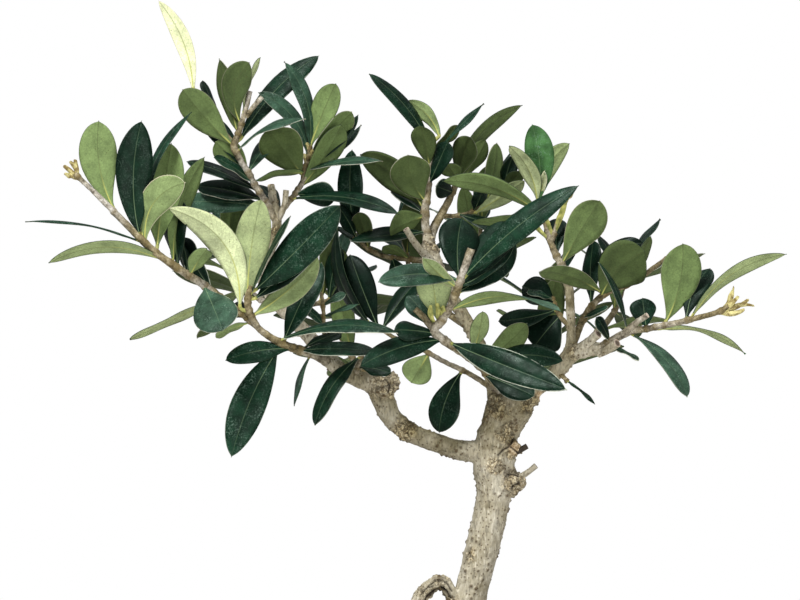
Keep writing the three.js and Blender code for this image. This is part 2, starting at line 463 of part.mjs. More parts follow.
// Twigs are rows of [right, down, out, radius], and leaves are rows as rowBlade reads them.
const SPRAYS = {
  limb_end_spray: {
    twigs: [
      [
        [327.5, 362, 36.4, 5], [314, 354, 43, 5], [300, 350, 48, 4.4], [285, 345, 52, 4.5],
        [272, 338, 56, 4.5],
        [263, 332, 59, 4.2],
      ],
    ],
    leaves: [
      [293, 349, 226, 360, 24, 24, 30, 2],
      [282, 346, 232, 457, 34, 38, 12, 3],
      [310, 356, 294, 406, -12, 20, 70, 0],
      [279, 341, 398, 333, 46, 24, -62, -6],
      [299, 351, 378, 352, 24, 24, -48, 0],
      [302, 349, 342, 333, -10, 20, -60, 0],
      [284, 342, 322, 262, -28, 28, -20, 0],
    ],
  },
  far_left_spray: {
    twigs: [
      [
        [264, 332.6, 58.8, 4], [250, 320, 61, 4.2], [240, 312, 63, 4.2], [220, 297, 68, 4.3],
        [203, 284, 73, 4.4],
        [178, 268, 80, 4], [150, 247, 87, 3.6], [122, 219, 93, 3.4], [95, 192, 98, 2.6], [80, 178, 100, 2.5],
        [70, 168, 102, 4.2],
      ],
    ],
    leaves: [
      [116, 211, 100, 121, -12, 38, 168, -11],
      [141, 238, 143, 121, 4, 37, 8, -9],
      [147, 245, 185, 181, 26, 34, 172, -8],
      [160, 254, 173, 144, -34, 33, 168, 3],
      [143, 240, 196, 111, -44, 26, -57, 3],
      [141, 238, 27, 222, 14, 22, 82, -3],
      [170, 263, 50, 263, 24, 26, 114, 11],
      [174, 265, 205, 157, -40, 26, -130, -8],
      [179, 268, 168, 202, -56, 26, -50, 0],
      [188, 275, 180, 238, -52, 22, 50, 0],
      [214, 292, 182, 238, -40, 26, -35, 0],
      [190, 276, 208, 249, 20, 24, -140, 0],
      [207, 288, 214, 336, 62, 40, -8, 0],
      [220, 298, 130, 339, -26, 22, 112, -4],
      [242, 314, 197, 338, -30, 20, 106, 0],
      [247, 318, 226, 308, -40, 26, 25, 0],
      [251, 322, 216, 337, -6, 18, 112, 0],
    ],
  },
  left_upright_spray: {
    twigs: [[[257, 326, 61, 3.5], [251, 314, 68, 3.5], [248, 300, 72, 3.5], [252, 286, 73, 2.6]]],
    leaves: [
      [247, 306, 168, 208, 8, 31, 168, 25],
      [248, 303, 262, 199, 2, 36, 172, -4],
      [251, 296, 291, 216, 24, 22, -78, 2],
      [252, 290, 340, 205, 44, 32, -15, 6],
      [252, 287, 318, 233, 0, 26, -36, 10],
      [252, 316, 319, 257, 16, 28, 165, 4],
    ],
  },
  thin_shoot: {
    twigs: [
      [
        [329, 361, 34, 2.6], [325, 350, 26, 2], [324, 325, 19, 2], [323, 305, 16, 2], [321, 292, 15, 1.5],
      ],
    ],
    leaves: [
      [323, 306, 346, 294, 4, 14, -62, 0],
      [324, 317, 360, 304, 4, 14, -70, 0],
      [324, 326, 306, 308, 4, 13, 50, 0],
    ],
  },
  low_left_spray: {
    twigs: [[[355, 378, 21, 3.2], [358, 367, 30, 2.6], [362, 354, 36, 2]]],
    leaves: [
      [361, 356, 315, 425, 26, 26, 45, 4],
      [357, 367, 391, 373, 10, 20, -55, 0],
    ],
  },
  left_riser_spray: {
    twigs: [[[286, 314, -15, 3.2], [300, 306, -26, 2.6], [316, 304, -32, 2.4], [330, 300, -36, 2]]],
    leaves: [
      [320, 303, 334, 214, -8, 28, -130, 4],
      [329, 300, 340, 246, 10, 24, -40, 0],
      [304, 305, 296, 262, -16, 24, 30, 0],
      [330, 300, 362, 282, -20, 22, -45, 0],
    ],
  },
  upper_left_spray: {
    twigs: [
      [
        [277, 224, -31, 3.8], [266, 202, -28, 3.3], [256, 187, -25, 3.2], [247, 171, -22, 3.2],
        [238, 156, -20, 3.4], [234, 146, -19, 4], [238, 134, -18, 3], [242, 122, -17, 3],
        [246, 106, -16, 2.2],
        [250, 91, -15, 1.8],
      ],
      [[235, 147, -20, 3], [222, 130, -28, 2.4], [207, 112, -32, 2], [195, 95, -34, 1.7]],
      [[247, 116, -17, 2], [254, 106, -14, 1.8], [262, 98, -12, 1.8]],
    ],
    leaves: [
      [234, 146, 180, 92, 14, 33, 168, -4],
      [247, 172, 195, 104, -34, 26, 38, 0],
      [193, 92, 158, 0, 2, 24, 172, 4],
      [216, 123, 202, 80, -18, 18, 60, 0],
      [241, 124, 250, 62, 10, 29, 164, -12],
      [238, 134, 219, 58, -24, 26, 140, -2],
      [248, 99, 260, 57, 4, 14, -105, 0],
      [239, 142, 319, 54, -84, 26, -36, -4],
      [237, 152, 306, 119, 22, 18, -76, -6],
      [259, 192, 186, 161, -20, 24, 62, 0],
      [265, 201, 196, 186, -36, 26, 44, 0],
      [250, 176, 215, 141, 0, 28, 165, 0],
      [254, 184, 214, 157, 18, 22, 60, 0],
      [268, 207, 165, 203, -58, 26, 35, 0],
      [248, 173, 280, 130, -38, 22, -45, 0],
    ],
  },
  upper_middle_spray: {
    twigs: [
      [
        [276, 222, -31, 3.8], [279, 215, -36, 3.4], [286, 205, -40, 3], [296, 192, -42, 2.8],
        [303, 180, -42, 2.8],
        [306, 168, -41, 3], [308, 155, -40, 2.6], [310, 145, -39, 2.2],
      ],
    ],
    leaves: [
      [309, 149, 284, 61, 4, 24, 50, 7],
      [308, 158, 258, 92, 12, 24, 54, 9],
      [310, 147, 336, 83, 16, 26, -20, -2],
      [304, 177, 265, 134, 24, 42, 172, 0],
      [306, 172, 256, 180, 34, 20, 112, 0],
      [306, 170, 383, 161, 26, 20, -66, 0],
      [298, 189, 341, 124, 14, 32, -140, 6],
      [295, 193, 336, 196, 6, 28, 30, 0],
      [308, 157, 352, 111, 2, 28, -135, 2],
      [306, 166, 358, 114, -16, 24, -52, 6],
      [304, 174, 361, 124, -34, 22, -60, 6],
      [291, 199, 399, 214, 36, 24, -60, -4],
      [281, 212, 258, 184, -36, 22, 40, 0],
    ],
  },
  middle_left_spray: {
    twigs: [
      [
        [429, 246, -50, 4.6], [427, 235, -54, 4.5], [425, 212, -57, 4.5], [428, 192, -59, 4],
        [430, 172, -61, 2.9],
        [432, 150, -62, 2.8], [433, 140, -62, 2.2],
      ],
    ],
    leaves: [
      [432, 149, 369, 73, 8, 24, 54, 3],
      [433, 141, 408, 101, -12, 27, 160, 0],
      [430, 167, 421, 125, 22, 27, 165, 0],
      [427, 202, 408, 153, 20, 43, 170, 0],
      [426, 212, 360, 154, -10, 34, 155, 6],
      [426, 216, 392, 190, -26, 22, 60, 0],
      [427, 232, 351, 241, 31, 22, 60, -2],
      [426, 215, 389, 232, 26, 31, 154, 0],
      [432, 158, 484, 103, 14, 18, -78, 2],
      [432, 153, 461, 126, -12, 20, -118, 0],
      [429, 184, 448, 141, 14, 24, -45, 2],
    ],
  },
  side_twig_spray: {
    twigs: [
      [
        [434, 262, -47, 3.6], [408, 259, -50, 2.8], [388, 257, -50, 2.6], [370, 250, -49, 2.3],
        [354, 236, -48, 2],
      ],
    ],
    leaves: [
      [355, 237, 352, 149, 6, 26, -20, -2],
      [356, 238, 338, 206, 20, 20, 35, 0],
      [369, 250, 358, 212, 18, 20, 150, 0],
      [376, 252, 336, 226, -20, 18, 68, 0],
      [410, 259, 383, 246, 18, 18, 125, 0],
      [392, 257, 402, 284, 10, 20, 20, 0],
    ],
  },
  middle_right_spray: {
    twigs: [
      [
        [430, 244, -53, 4], [434, 228, -64, 5], [441, 215, -70, 4.5], [448, 202, -75, 4.4],
        [454, 189, -78, 4],
        [460, 178, -80, 3],
      ],
      [[440, 216, -69, 3.2], [465, 214, -78, 2.6], [485, 204, -82, 2.4], [504, 191, -84, 2]],
    ],
    leaves: [
      [460, 179, 472, 137, 12, 28, 25, -4],
      [460, 180, 486, 139, -10, 22, -45, 4],
      [453, 192, 436, 186, 30, 20, 0, 0],
      [474, 210, 483, 188, 16, 18, 40, 0],
      [504, 192, 514, 154, -8, 22, -48, 0],
      [503, 192, 522, 170, 14, 18, -140, 0],
      [496, 197, 526, 182, 26, 18, -130, 0],
      [459, 181, 447, 164, 24, 22, 150, 0],
      [459, 180, 523, 104, -24, 26, -128, -10],
      [486, 203, 498, 143, -22, 22, 60, 0],
      [458, 214, 502, 232, 10, 20, -50, 0],
    ],
  },
  middle_front_spray: {
    twigs: [
      [
        [508, 398, 4, 5], [498, 388, 18, 4.6], [487, 373, 34, 4.2], [470, 358, 50, 4], [455, 348, 60, 4],
        [440, 337, 67, 4.5], [434, 331, 70, 4.8], [442, 320, 75, 4], [450, 307, 79, 3.8], [456, 292, 82, 4],
        [463, 272, 84, 4], [471, 249, 84, 4],
      ],
      [[435, 332, 70, 4], [425, 319, 68, 3.4], [415, 309, 67, 3]],
    ],
    leaves: [
      [460, 281, 378, 282, 26, 26, 30, 5],
      [456, 292, 424, 258, 6, 22, 125, 0],
      [439, 324, 430, 269, 26, 32, 172, 0],
      [436, 330, 408, 295, -20, 20, 145, 0],
      [459, 280, 462, 218, -34, 41, 10, -4],
      [460, 285, 505, 221, -44, 34, -15, 4],
      [456, 294, 513, 237, -66, 30, -20, 8],
      [462, 280, 577, 187, 30, 30, -28, 4],
      [459, 287, 515, 243, 10, 20, -58, 8],
      [448, 311, 560, 311, 34, 28, -118, -11],
      [469, 357, 482, 311, 20, 20, -140, 4],
      [478, 365, 527, 323, -8, 28, -150, 4],
      [480, 366, 563, 361, 16, 26, -35, -6],
      [448, 342, 566, 389, 72, 31, -20, 2],
      [489, 377, 541, 397, 28, 28, -25, 0],
      [444, 340, 360, 366, 34, 26, 24, 4],
      [436, 334, 394, 330, 16, 22, 40, 0],
    ],
  },
  low_middle_spray: {
    twigs: [
      [
        [500, 392, 6, 3.4], [490, 387, 12, 2.8], [475, 377, 16, 2.6], [460, 369, 18, 2.6],
        [443, 361, 18, 2.4],
        [427, 352, 16, 2.3], [410, 344, 13, 2.2], [395, 338, 10, 2.1], [382, 330, 7, 2], [371, 325, 4, 2],
      ],
    ],
    leaves: [
      [429, 353, 411, 383, -8, 30, 172, 0],
      [462, 371, 439, 433, 2, 33, 18, 4],
      [379, 329, 350, 254, -16, 30, -15, 0],
      [382, 330, 418, 281, -16, 26, -45, 0],
      [372, 325, 337, 227, -14, 26, -56, -10],
    ],
  },
  right_riser_spray: {
    twigs: [
      [
        [565.4, 273.5, -3, 4], [562, 266, -4.6, 4], [556, 255, -6, 4], [550, 240, -8, 3.8],
        [546, 225, -10, 3],
        [541, 212, -12, 2.5], [538, 200, -13, 2],
      ],
      [[552, 242, -8, 2.6], [559, 218, -9, 2.5], [566, 198, -10, 2.5]],
    ],
    leaves: [
      [562, 265, 598, 200, 14, 42, -170, 3],
      [557, 256, 557, 218, -24, 24, -20, 0],
      [541, 213, 442, 181, 10, 27, 128, 6],
      [543, 216, 472, 222, -22, 20, 118, -4],
      [539, 203, 509, 146, 4, 24, 132, -2],
      [539, 202, 533, 125, 16, 28, -12, -2],
      [540, 204, 569, 144, -18, 24, -145, 0],
    ],
  },
  right_knee_spray: {
    twigs: [[[571, 326, 6, 3.4], [563, 320, 2, 2.6], [556, 308, -2, 2.4], [552, 297, -4, 2]]],
    leaves: [
      [561, 317, 532, 346, 0, 34, 25, 0],
      [557, 310, 498, 321, 8, 24, 42, -4],
      [554, 301, 518, 284, 4, 28, 34, 0],
      [553, 299, 527, 292, 18, 12, 60, 0],
    ],
  },
  right_low_leaf: {
    twigs: [[[552, 372, 9, 3], [562, 376, 15, 2.4], [567, 381, 17, 2]]],
    leaves: [[567, 381, 595, 404, 6, 14, -70, 0]],
  },
  right_back_spray: {
    twigs: [
      [
        [572, 347, 8, 4], [582, 322, -8, 3.6], [592, 306, -16, 3.5], [605, 294, -22, 3.2],
        [632, 283, -30, 3],
        [662, 262, -38, 2.6], [672, 255, -40, 2.2],
      ],
    ],
    leaves: [
      [592, 306, 594, 240, -20, 26, -44, 0],
      [626, 286, 597, 233, -14, 22, 66, 0],
      [601, 297, 641, 244, 24, 44, -165, -4],
      [634, 282, 651, 236, -6, 22, -115, 0],
      [584, 319, 608, 308, 14, 16, -66, 0],
      [603, 295, 539, 273, 92, 28, 145, 4],
      [667, 259, 690, 288, -18, 22, 30, 0],
    ],
  },
  right_end_spray: {
    twigs: [
      [
        [600, 348, 15, 5.4], [606, 346, 17, 5.6], [618, 338, 21, 5], [630, 331, 24, 4.8],
        [645, 329, 28, 3.3],
        [660, 326, 32, 3.1], [680, 322, 36, 3], [700, 317, 40, 2.8], [720, 311, 44, 2.8],
        [728, 306, 45, 2.4],
      ],
      [[629, 332, 24, 3], [636, 323, 21, 2.5], [647, 315, 19, 2.3]],
    ],
    leaves: [
      [664, 324, 683, 243, 10, 41, -165, -4],
      [688, 320, 716, 278, -26, 26, -46, 0],
      [692, 318, 786, 254, 14, 28, -122, -8],
      [660, 327, 745, 354, 10, 22, -108, -6],
      [632, 332, 686, 397, 22, 26, -55, -5],
      [646, 328, 642, 298, 30, 24, 0, 0],
      [624, 334, 598, 263, 18, 24, 66, 2],
      [610, 343, 596, 317, 10, 18, 60, 0],
      [608, 346, 639, 360, 8, 16, -70, 0],
      [724, 309, 735, 287, 4, 10, 20, 0],
      [726, 308, 748, 299, 2, 10, -30, 0],
      [724, 310, 751, 308, -4, 9, 150, 0],
    ],
  },
};

// Sprays at the back of the crown: one twig each, with its leaves in opposite pairs.
const BACK_SPRAYS = {
  back_far_left_spray: {
    twig: [
      [286, 313, -16, 3.6], [264, 302, -48, 3], [246, 288, -78, 2.8], [232, 268, -100, 2.4],
      [222, 246, -116, 2],
    ],
    pairs: 4,
    seed: 137,
  },
  back_left_spray: {
    twig: [
      [381, 398, 6, 4], [372, 384, -30, 3.6], [355, 362, -66, 3], [342, 338, -94, 2.8],
      [336, 312, -114, 2.4],
      [332, 286, -124, 2],
    ],
    pairs: 5,
    seed: 26,
  },
  back_middle_left_spray: {
    twig: [
      [470, 328, -34, 4], [446, 312, -70, 3.4], [422, 292, -98, 3], [410, 268, -114, 2.6],
      [404, 240, -124, 2],
    ],
    pairs: 4,
    seed: 24,
  },
  back_middle_right_spray: {
    twig: [
      [449, 292, -42, 4], [464, 276, -80, 3.4], [474, 258, -108, 3], [480, 236, -126, 2.6],
      [482, 212, -136, 2],
    ],
    pairs: 4,
    seed: 27,
  },
  back_middle_spray: {
    twig: [
      [520, 396, -10, 5], [532, 383, -50, 4], [542, 364, -88, 3.4], [548, 342, -108, 3],
      [550, 323, -120, 2.4],
      [550, 304, -128, 2],
    ],
    pairs: 5,
    seed: 177,
  },
  back_right_spray: {
    twig: [
      [576, 350, 8, 4], [595, 335, -34, 3.4], [612, 316, -70, 3], [622, 295, -98, 2.6], [626, 272, -116, 2],
    ],
    pairs: 3,
    seed: 153,
  },
};

// ---------- the assembled tree ----------

function asGeometry(solid) {
  const mesh = solid.getMesh();
  const geometry = new THREE.BufferGeometry();
  geometry.setAttribute("position", new THREE.BufferAttribute(new Float32Array(mesh.vertProperties), 3));
  geometry.setIndex(new THREE.BufferAttribute(new Uint32Array(mesh.triVerts), 1));
  return geometry;
}

const clay = new THREE.MeshStandardMaterial({ color: 0x6b4a38, roughness: 0.85, metalness: 0 });
const plastic = new THREE.MeshStandardMaterial({ color: 0x23282a, roughness: 0.7, metalness: 0 });
const earth = new THREE.MeshStandardMaterial({ color: 0x4a3a2c, roughness: 0.95, metalness: 0 });
const bark = new THREE.MeshStandardMaterial({ color: 0xafa58c, roughness: 0.85, metalness: 0 });
const foliage = new THREE.MeshStandardMaterial({ color: 0x3d5a3c, roughness: 0.4, metalness: 0 });

const group = new THREE.Group();

function place(name, solid, material) {
  const mesh = new THREE.Mesh(asGeometry(solid), material);
  mesh.name = name;
  group.add(mesh);
}

let clearance = makeWood(GAP);
place("pot", makePot(), clay);
place("drain_mesh_left", makeDrainMesh(-DRAIN_PLACE), plastic);
place("drain_mesh_right", makeDrainMesh(DRAIN_PLACE), plastic);
place("soil", makeSoil(clearance), earth);
place("trunk_and_limbs", makeWood(), bark);

// Each spray is cut back to a seat just off the wood that it grows from.
function placeSpray(name, twigs, leaves) {
  const grown = joined([...twigs.map((rows) => branch(rows, TWIG_SIDES)), ...leaves]);
  place(name, largest(grown.subtract(clearance)), foliage);
  clearance = joined([clearance, ...twigs.map((rows) => branch(rows, TWIG_SIDES, GAP))]);
}

for (const [name, { twigs, leaves }] of Object.entries(SPRAYS)) {
  placeSpray(name, twigs, leaves.map((row) => rowBlade(twigs, row)));
}
for (const [name, { twig, pairs, seed }] of Object.entries(BACK_SPRAYS)) {
  placeSpray(name, [twig], pairedBlades(twig, pairs, seed));
}

export default group;
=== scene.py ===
# A small olive bonsai: clay tray, soil, a leaning trunk with cut-back limbs, and sprays of leathery leaves.
# Metres, +Z up, the front of the tree towards -Y, standing on Z = 0.

import math
import random

import bpy
from mathutils import Matrix, Vector, kdtree, noise


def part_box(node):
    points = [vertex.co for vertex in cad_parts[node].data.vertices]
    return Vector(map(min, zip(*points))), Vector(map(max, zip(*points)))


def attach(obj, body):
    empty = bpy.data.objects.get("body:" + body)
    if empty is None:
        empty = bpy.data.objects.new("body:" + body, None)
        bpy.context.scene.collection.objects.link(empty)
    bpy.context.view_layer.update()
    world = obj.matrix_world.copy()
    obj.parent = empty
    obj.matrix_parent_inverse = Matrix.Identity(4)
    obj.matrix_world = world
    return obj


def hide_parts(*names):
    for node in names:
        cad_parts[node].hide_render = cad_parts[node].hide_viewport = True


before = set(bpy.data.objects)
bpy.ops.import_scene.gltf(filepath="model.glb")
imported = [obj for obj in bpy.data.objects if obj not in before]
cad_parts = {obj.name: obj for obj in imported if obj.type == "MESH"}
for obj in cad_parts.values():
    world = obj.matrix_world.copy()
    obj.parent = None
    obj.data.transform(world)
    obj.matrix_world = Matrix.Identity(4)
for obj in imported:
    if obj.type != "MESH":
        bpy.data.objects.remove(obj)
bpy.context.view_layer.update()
bpy.ops.object.select_all(action="DESELECT")

MM = 0.001


# ---------- camera, floor and studio light ----------
# The camera looks level at the crown from the front, through a long lens. Three round softboxes and a dim
# sky light the tree, which stands on a matt white floor.

CAMERA_PLACE = (-0.0026, -8.414, 0.188)
CAMERA_LENS = 945


def new_object(name, data):
    """A new object in the scene, for a camera, a lamp, a curve or a mesh."""
    made = bpy.data.objects.new(name, data)
    bpy.context.scene.collection.objects.link(made)
    return made


camera = new_object("camera", bpy.data.cameras.new("camera"))
camera.data.lens = CAMERA_LENS
camera.location = CAMERA_PLACE
camera.rotation_euler = (math.radians(90), 0, 0)
bpy.context.scene.camera = camera
bpy.context.scene.view_settings.view_transform = "Standard"


def linear(code):
    """An sRGB hex colour as linear red, green, blue and alpha."""
    channels = [int(code[i : i + 2], 16) / 255 for i in (1, 3, 5)]
    return [c / 12.92 if c <= 0.04045 else ((c + 0.055) / 1.055) ** 2.4 for c in channels] + [1]


def feed(node, inputs):
    """Gives a node's inputs, by name or place, their values, or links from sockets or other nodes."""
    for place, source in inputs.items():
        if isinstance(source, bpy.types.Node):
            source = next(output for output in source.outputs if output.enabled)
        if isinstance(source, bpy.types.NodeSocket):
            node.id_data.links.new(source, node.inputs[place])
        else:
            node.inputs[place].default_value = source


def add(tree, kind, inputs={}, stops=None, **settings):
    """A new node with its settings, its inputs, and a ramp's stops of place and colour or grey."""
    made = tree.nodes.new("ShaderNode" + kind)
    for name, value in settings.items():
        setattr(made, name, value)
    feed(made, inputs)
    if stops:
        elements = made.color_ramp.elements
        while len(elements) < len(stops):
            elements.new(1)
        for element, (position, colour) in zip(elements, stops):
            element.position = position
            element.color = linear(colour) if isinstance(colour, str) else [colour] * 3 + [1]
    return made


def finish(name, **sockets):
    """A material, its node tree, its shader, whose constant sockets are set here, and the place that its
    patterns are drawn at, in metres."""
    material = bpy.data.materials.new(name)
    material.use_nodes = True
    tree = material.node_tree
    shader = tree.nodes["Principled BSDF"]
    feed(shader, {socket.replace("_", " "): value for socket, value in sockets.items()})
    return material, tree, shader, add(tree, "TexCoord").outputs["Object"]


# The camera sees plain white, and everything else is lit by a dim, slightly blue sky.
SKY_STRENGTH = 0.26
world = bpy.data.worlds.new("studio")
world.use_nodes = True
bpy.context.scene.world = world
sky = world.node_tree
background = sky.nodes["Background"]
feed(background, {"Color": linear("#f4f8ff"), "Strength": SKY_STRENGTH})
white = add(sky, "Background", {"Color": linear("#ffffff"), "Strength": 1.0})
to_camera = add(sky, "LightPath").outputs["Is Camera Ray"]
lit_or_seen = add(sky, "MixShader", {0: to_camera, 1: background, 2: white})
feed(sky.nodes["World Output"], {"Surface": lit_or_seen})

CROWN = Vector((0, 0, 0.2))
# Softboxes aimed at the crown: name, place, width in metres, and watts.
SOFTBOXES = [
    ("key", (-0.6, -0.8, 1.4), 0.5, 27),
    ("fill", (0.7, -1.3, 0.5), 1.0, 10),
    ("top", (0.3, 0.2, 1.55), 0.8, 7),
]
for name, place, width, watts in SOFTBOXES:
    softbox = new_object(name, bpy.data.lights.new(name, "AREA"))
    softbox.data.shape = "DISK"
    softbox.data.size = width
    softbox.data.energy = watts
    softbox.location = place
    softbox.rotation_euler = (CROWN - Vector(place)).to_track_quat("-Z", "Y").to_euler()

FLOOR_RADIUS = 2.6
bpy.ops.mesh.primitive_circle_add(vertices=96, radius=FLOOR_RADIUS, fill_type="NGON", location=(0, 0, 0))
floor = bpy.context.object
floor.name = "floor"
floor_paint, tree, shader, at = finish("matt_paint", Roughness=0.8)
grain = add(tree, "TexNoise", {"Scale": 900.0, "Vector": at})
shade = add(tree, "ValToRGB", {0: grain}, [(0.3, "#e6e5e2"), (0.7, "#efeeec")])
feed(shader, {"Base Color": shade})
floor.data.materials.append(floor_paint)


# ---------- pot ----------
# A rounded rectangular bonsai tray of unglazed brown clay, cast in a mould, with a flat band under its rim,
# walls that lean in, four feet and two drainage holes in its floor.

POT_LOW, POT_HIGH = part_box("pot")
POT_LENGTH = POT_HIGH.x - POT_LOW.x
POT_DEPTH = POT_HIGH.y - POT_LOW.y
POT_HEIGHT = POT_HIGH.z
POT_CORNER = 34 * MM
POT_TAPER = 9 * MM
POT_WALL = 6 * MM
POT_FLOOR = 7 * MM
RIM_BAND = 7 * MM
RIM_STEP = 2.5 * MM
RIM_ROUND = 1.2 * MM
OUTSIDE_LEAN = POT_TAPER * 0.93
INSIDE_LEAN = POT_TAPER * 0.8
FOOT_BEVEL = 2.5 * MM
FOOT_SIZE = Vector((34, 16, 6)) * MM
FOOT_ROUND = 6 * MM
FOOT_INSET = Vector((12, 6, 0)) * MM
DRAIN_RADIUS = 8 * MM
DRAIN_PLACE = 42 * MM
DRILL_EXTRA = 4 * MM  # to pass through both faces
CORNER_SEGMENTS = 14
SOFT_EDGE = 0.7 * MM
SOFT_ANGLE = 25  # degrees between faces whose edge is softened
SHADED_ANGLE = 35  # degrees between faces that are shaded as one


def modify(piece, kind, **settings):
    """Gives a piece a modifier with its settings, and applies it."""
    modifier = piece.modifiers.new(kind, kind)
    for name, value in settings.items():
        setattr(modifier, name, value)
    bpy.context.view_layer.objects.active = piece
    bpy.ops.object.modifier_apply(modifier=modifier.name)


def tray_outline(name, height, inset):
    """A flat rounded rectangle, inset from the rim's outline, left in edit mode with its face selected."""
    bpy.ops.mesh.primitive_plane_add(size=1, location=(0, 0, height))
    piece = bpy.context.object
    piece.name = name
    piece.scale = (POT_LENGTH - 2 * inset, POT_DEPTH - 2 * inset, 1)
    bpy.ops.object.transform_apply(location=True, rotation=True, scale=True)
    bpy.ops.object.mode_set(mode="EDIT")
    bpy.ops.mesh.select_all(action="SELECT")
    bpy.ops.mesh.bevel(affect="VERTICES", offset=POT_CORNER - inset, segments=CORNER_SEGMENTS)
    bpy.ops.mesh.select_all(action="SELECT")
    return piece


def steps(*insets):
    """Insets the selected face again and again, each time by a thickness and a rise."""
    for thickness, rise in insets:
        bpy.ops.mesh.inset(thickness=max(thickness, 0.01 * MM), depth=rise)


wall_top = POT_HEIGHT - RIM_BAND
wall_rise = wall_top - FOOT_SIZE.z - FOOT_BEVEL
inner_floor = FOOT_SIZE.z + POT_FLOOR
pot = tray_outline("clay_pot", POT_HEIGHT - RIM_ROUND, 0)
bpy.ops.mesh.extrude_region_move(TRANSFORM_OT_translate={"value": (0, 0, 2 * RIM_ROUND - RIM_BAND)})
steps((RIM_STEP, -RIM_ROUND), (OUTSIDE_LEAN, -wall_rise), (FOOT_BEVEL, -FOOT_BEVEL))
bpy.ops.mesh.select_all(action="DESELECT")
bpy.ops.mesh.select_mode(type="EDGE")
bpy.ops.mesh.select_non_manifold()
bpy.ops.mesh.edge_face_add()
bpy.ops.mesh.select_mode(type="FACE")
bpy.ops.mesh.select_all(action="SELECT")
bpy.ops.mesh.normals_make_consistent(inside=False)
bpy.ops.mesh.select_all(action="DESELECT")
bpy.ops.object.mode_set(mode="OBJECT")
max(pot.data.polygons, key=lambda face: face.center.z).select = True
bpy.ops.object.mode_set(mode="EDIT")
cavity_rise = inner_floor - POT_HEIGHT
steps((RIM_ROUND, RIM_ROUND), (RIM_STEP + POT_WALL - RIM_ROUND, 0), (INSIDE_LEAN, cavity_rise))
bpy.ops.mesh.select_all(action="SELECT")
bpy.ops.mesh.normals_make_consistent(inside=False)
bpy.ops.object.mode_set(mode="OBJECT")


def cut_or_join(piece, other, operation):
    """Joins another piece to a piece, or cuts it away, and removes the other."""
    modify(piece, "BOOLEAN", object=other, operation=operation)
    bpy.data.objects.remove(other)


foot_reach = Vector((POT_LENGTH / 2 - RIM_STEP - POT_TAPER, POT_DEPTH / 2 - RIM_STEP - POT_TAPER, 0))
foot_middle = foot_reach - FOOT_SIZE / 2 - FOOT_INSET
for side_x in (-1, 1):
    for side_y in (-1, 1):
        tall = FOOT_SIZE.z + POT_FLOOR / 2
        place = (side_x * foot_middle.x, side_y * foot_middle.y, tall / 2)
        bpy.ops.mesh.primitive_cube_add(size=1, location=place)
        foot = bpy.context.object
        foot.scale = (FOOT_SIZE.x, FOOT_SIZE.y, tall)
        bpy.ops.object.transform_apply(location=True, rotation=True, scale=True)
        for edge in foot.data.edges:
            a, b = (foot.data.vertices[i].co for i in edge.vertices)
            edge.select = abs(a.z - b.z) > MM
        bpy.ops.object.mode_set(mode="EDIT")
        bpy.ops.mesh.select_mode(type="EDGE")
        bpy.ops.mesh.bevel(offset=FOOT_ROUND, segments=6)
        bpy.ops.object.mode_set(mode="OBJECT")
        cut_or_join(pot, foot, "UNION")
drill = 2 * inner_floor + DRILL_EXTRA
for side in (-1, 1):
    place = (side * DRAIN_PLACE, 0, 0)
    bpy.ops.mesh.primitive_cylinder_add(vertices=40, radius=DRAIN_RADIUS, depth=drill, location=place)
    cut_or_join(pot, bpy.context.object, "DIFFERENCE")
soft_angle = math.radians(SOFT_ANGLE)
modify(pot, "BEVEL", width=SOFT_EDGE, segments=3, limit_method="ANGLE", angle_limit=soft_angle)
bpy.ops.object.select_all(action="DESELECT")
pot.select_set(True)
bpy.ops.object.shade_smooth_by_angle(angle=math.radians(SHADED_ANGLE))

# A Mix node that multiplies. Its input 0 is the share, 6 the paint below and 7 the paint on top.
DARKEN = {"data_type": "RGBA", "blend_type": "MULTIPLY"}
# Unglazed stoneware: iron-brown, matt, gritty to half a millimetre, with darker firing clouds a few
# centimetres across.
clay, tree, shader, at = finish("unglazed_clay", Roughness=0.82, IOR=1.5)
clouds = add(tree, "TexNoise", {"Scale": 45.0, "Detail": 4.0, "Vector": at})
body = add(tree, "ValToRGB", {0: clouds}, [(0.3, "#553828"), (0.55, "#6d4a37"), (0.75, "#7b5947")])
grit = add(tree, "TexNoise", {"Scale": 1500.0, "Detail": 3.0, "Vector": at})
specks = add(tree, "ValToRGB", {0: grit}, [(0.28, 0.55), (0.42, 1.0)])
paint = add(tree, "Mix", {0: 1.0, 6: body, 7: specks}, **DARKEN)
bump = add(tree, "Bump", {"Strength": 0.35, "Distance": 0.3 * MM, "Height": grit})
feed(shader, {"Base Color": paint, "Normal": bump})
pot.data.materials.append(clay)
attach(pot, "root")
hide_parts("pot")


# ---------- drainage meshes ----------
# Two squares of moulded black plastic mesh, laid on the floor of the pot under the soil, which they keep
# from running out of the drainage holes.

# Dull polyethylene with a faint moulded grain.
mesh_plastic, tree, shader, at = finish("moulded_polyethylene", Roughness=0.6, IOR=1.5)
grain = add(tree, "TexNoise", {"Scale": 2500.0, "Vector": at})
tone = add(tree, "ValToRGB", {0: grain}, [(0.35, "#1e2223"), (0.65, "#2b3031")])
feed(shader, {"Base Color": tone})
for name in ("drain_mesh_left", "drain_mesh_right"):
    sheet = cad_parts[name]
    sheet.data.materials.clear()
    sheet.data.materials.append(mesh_plastic)


# ---------- soil ----------
# Granular bonsai soil: crushed baked clay and grit, poured in round the roots to a little under the pot's
# rim and heaped a little towards the trunk, with loose grains on top.

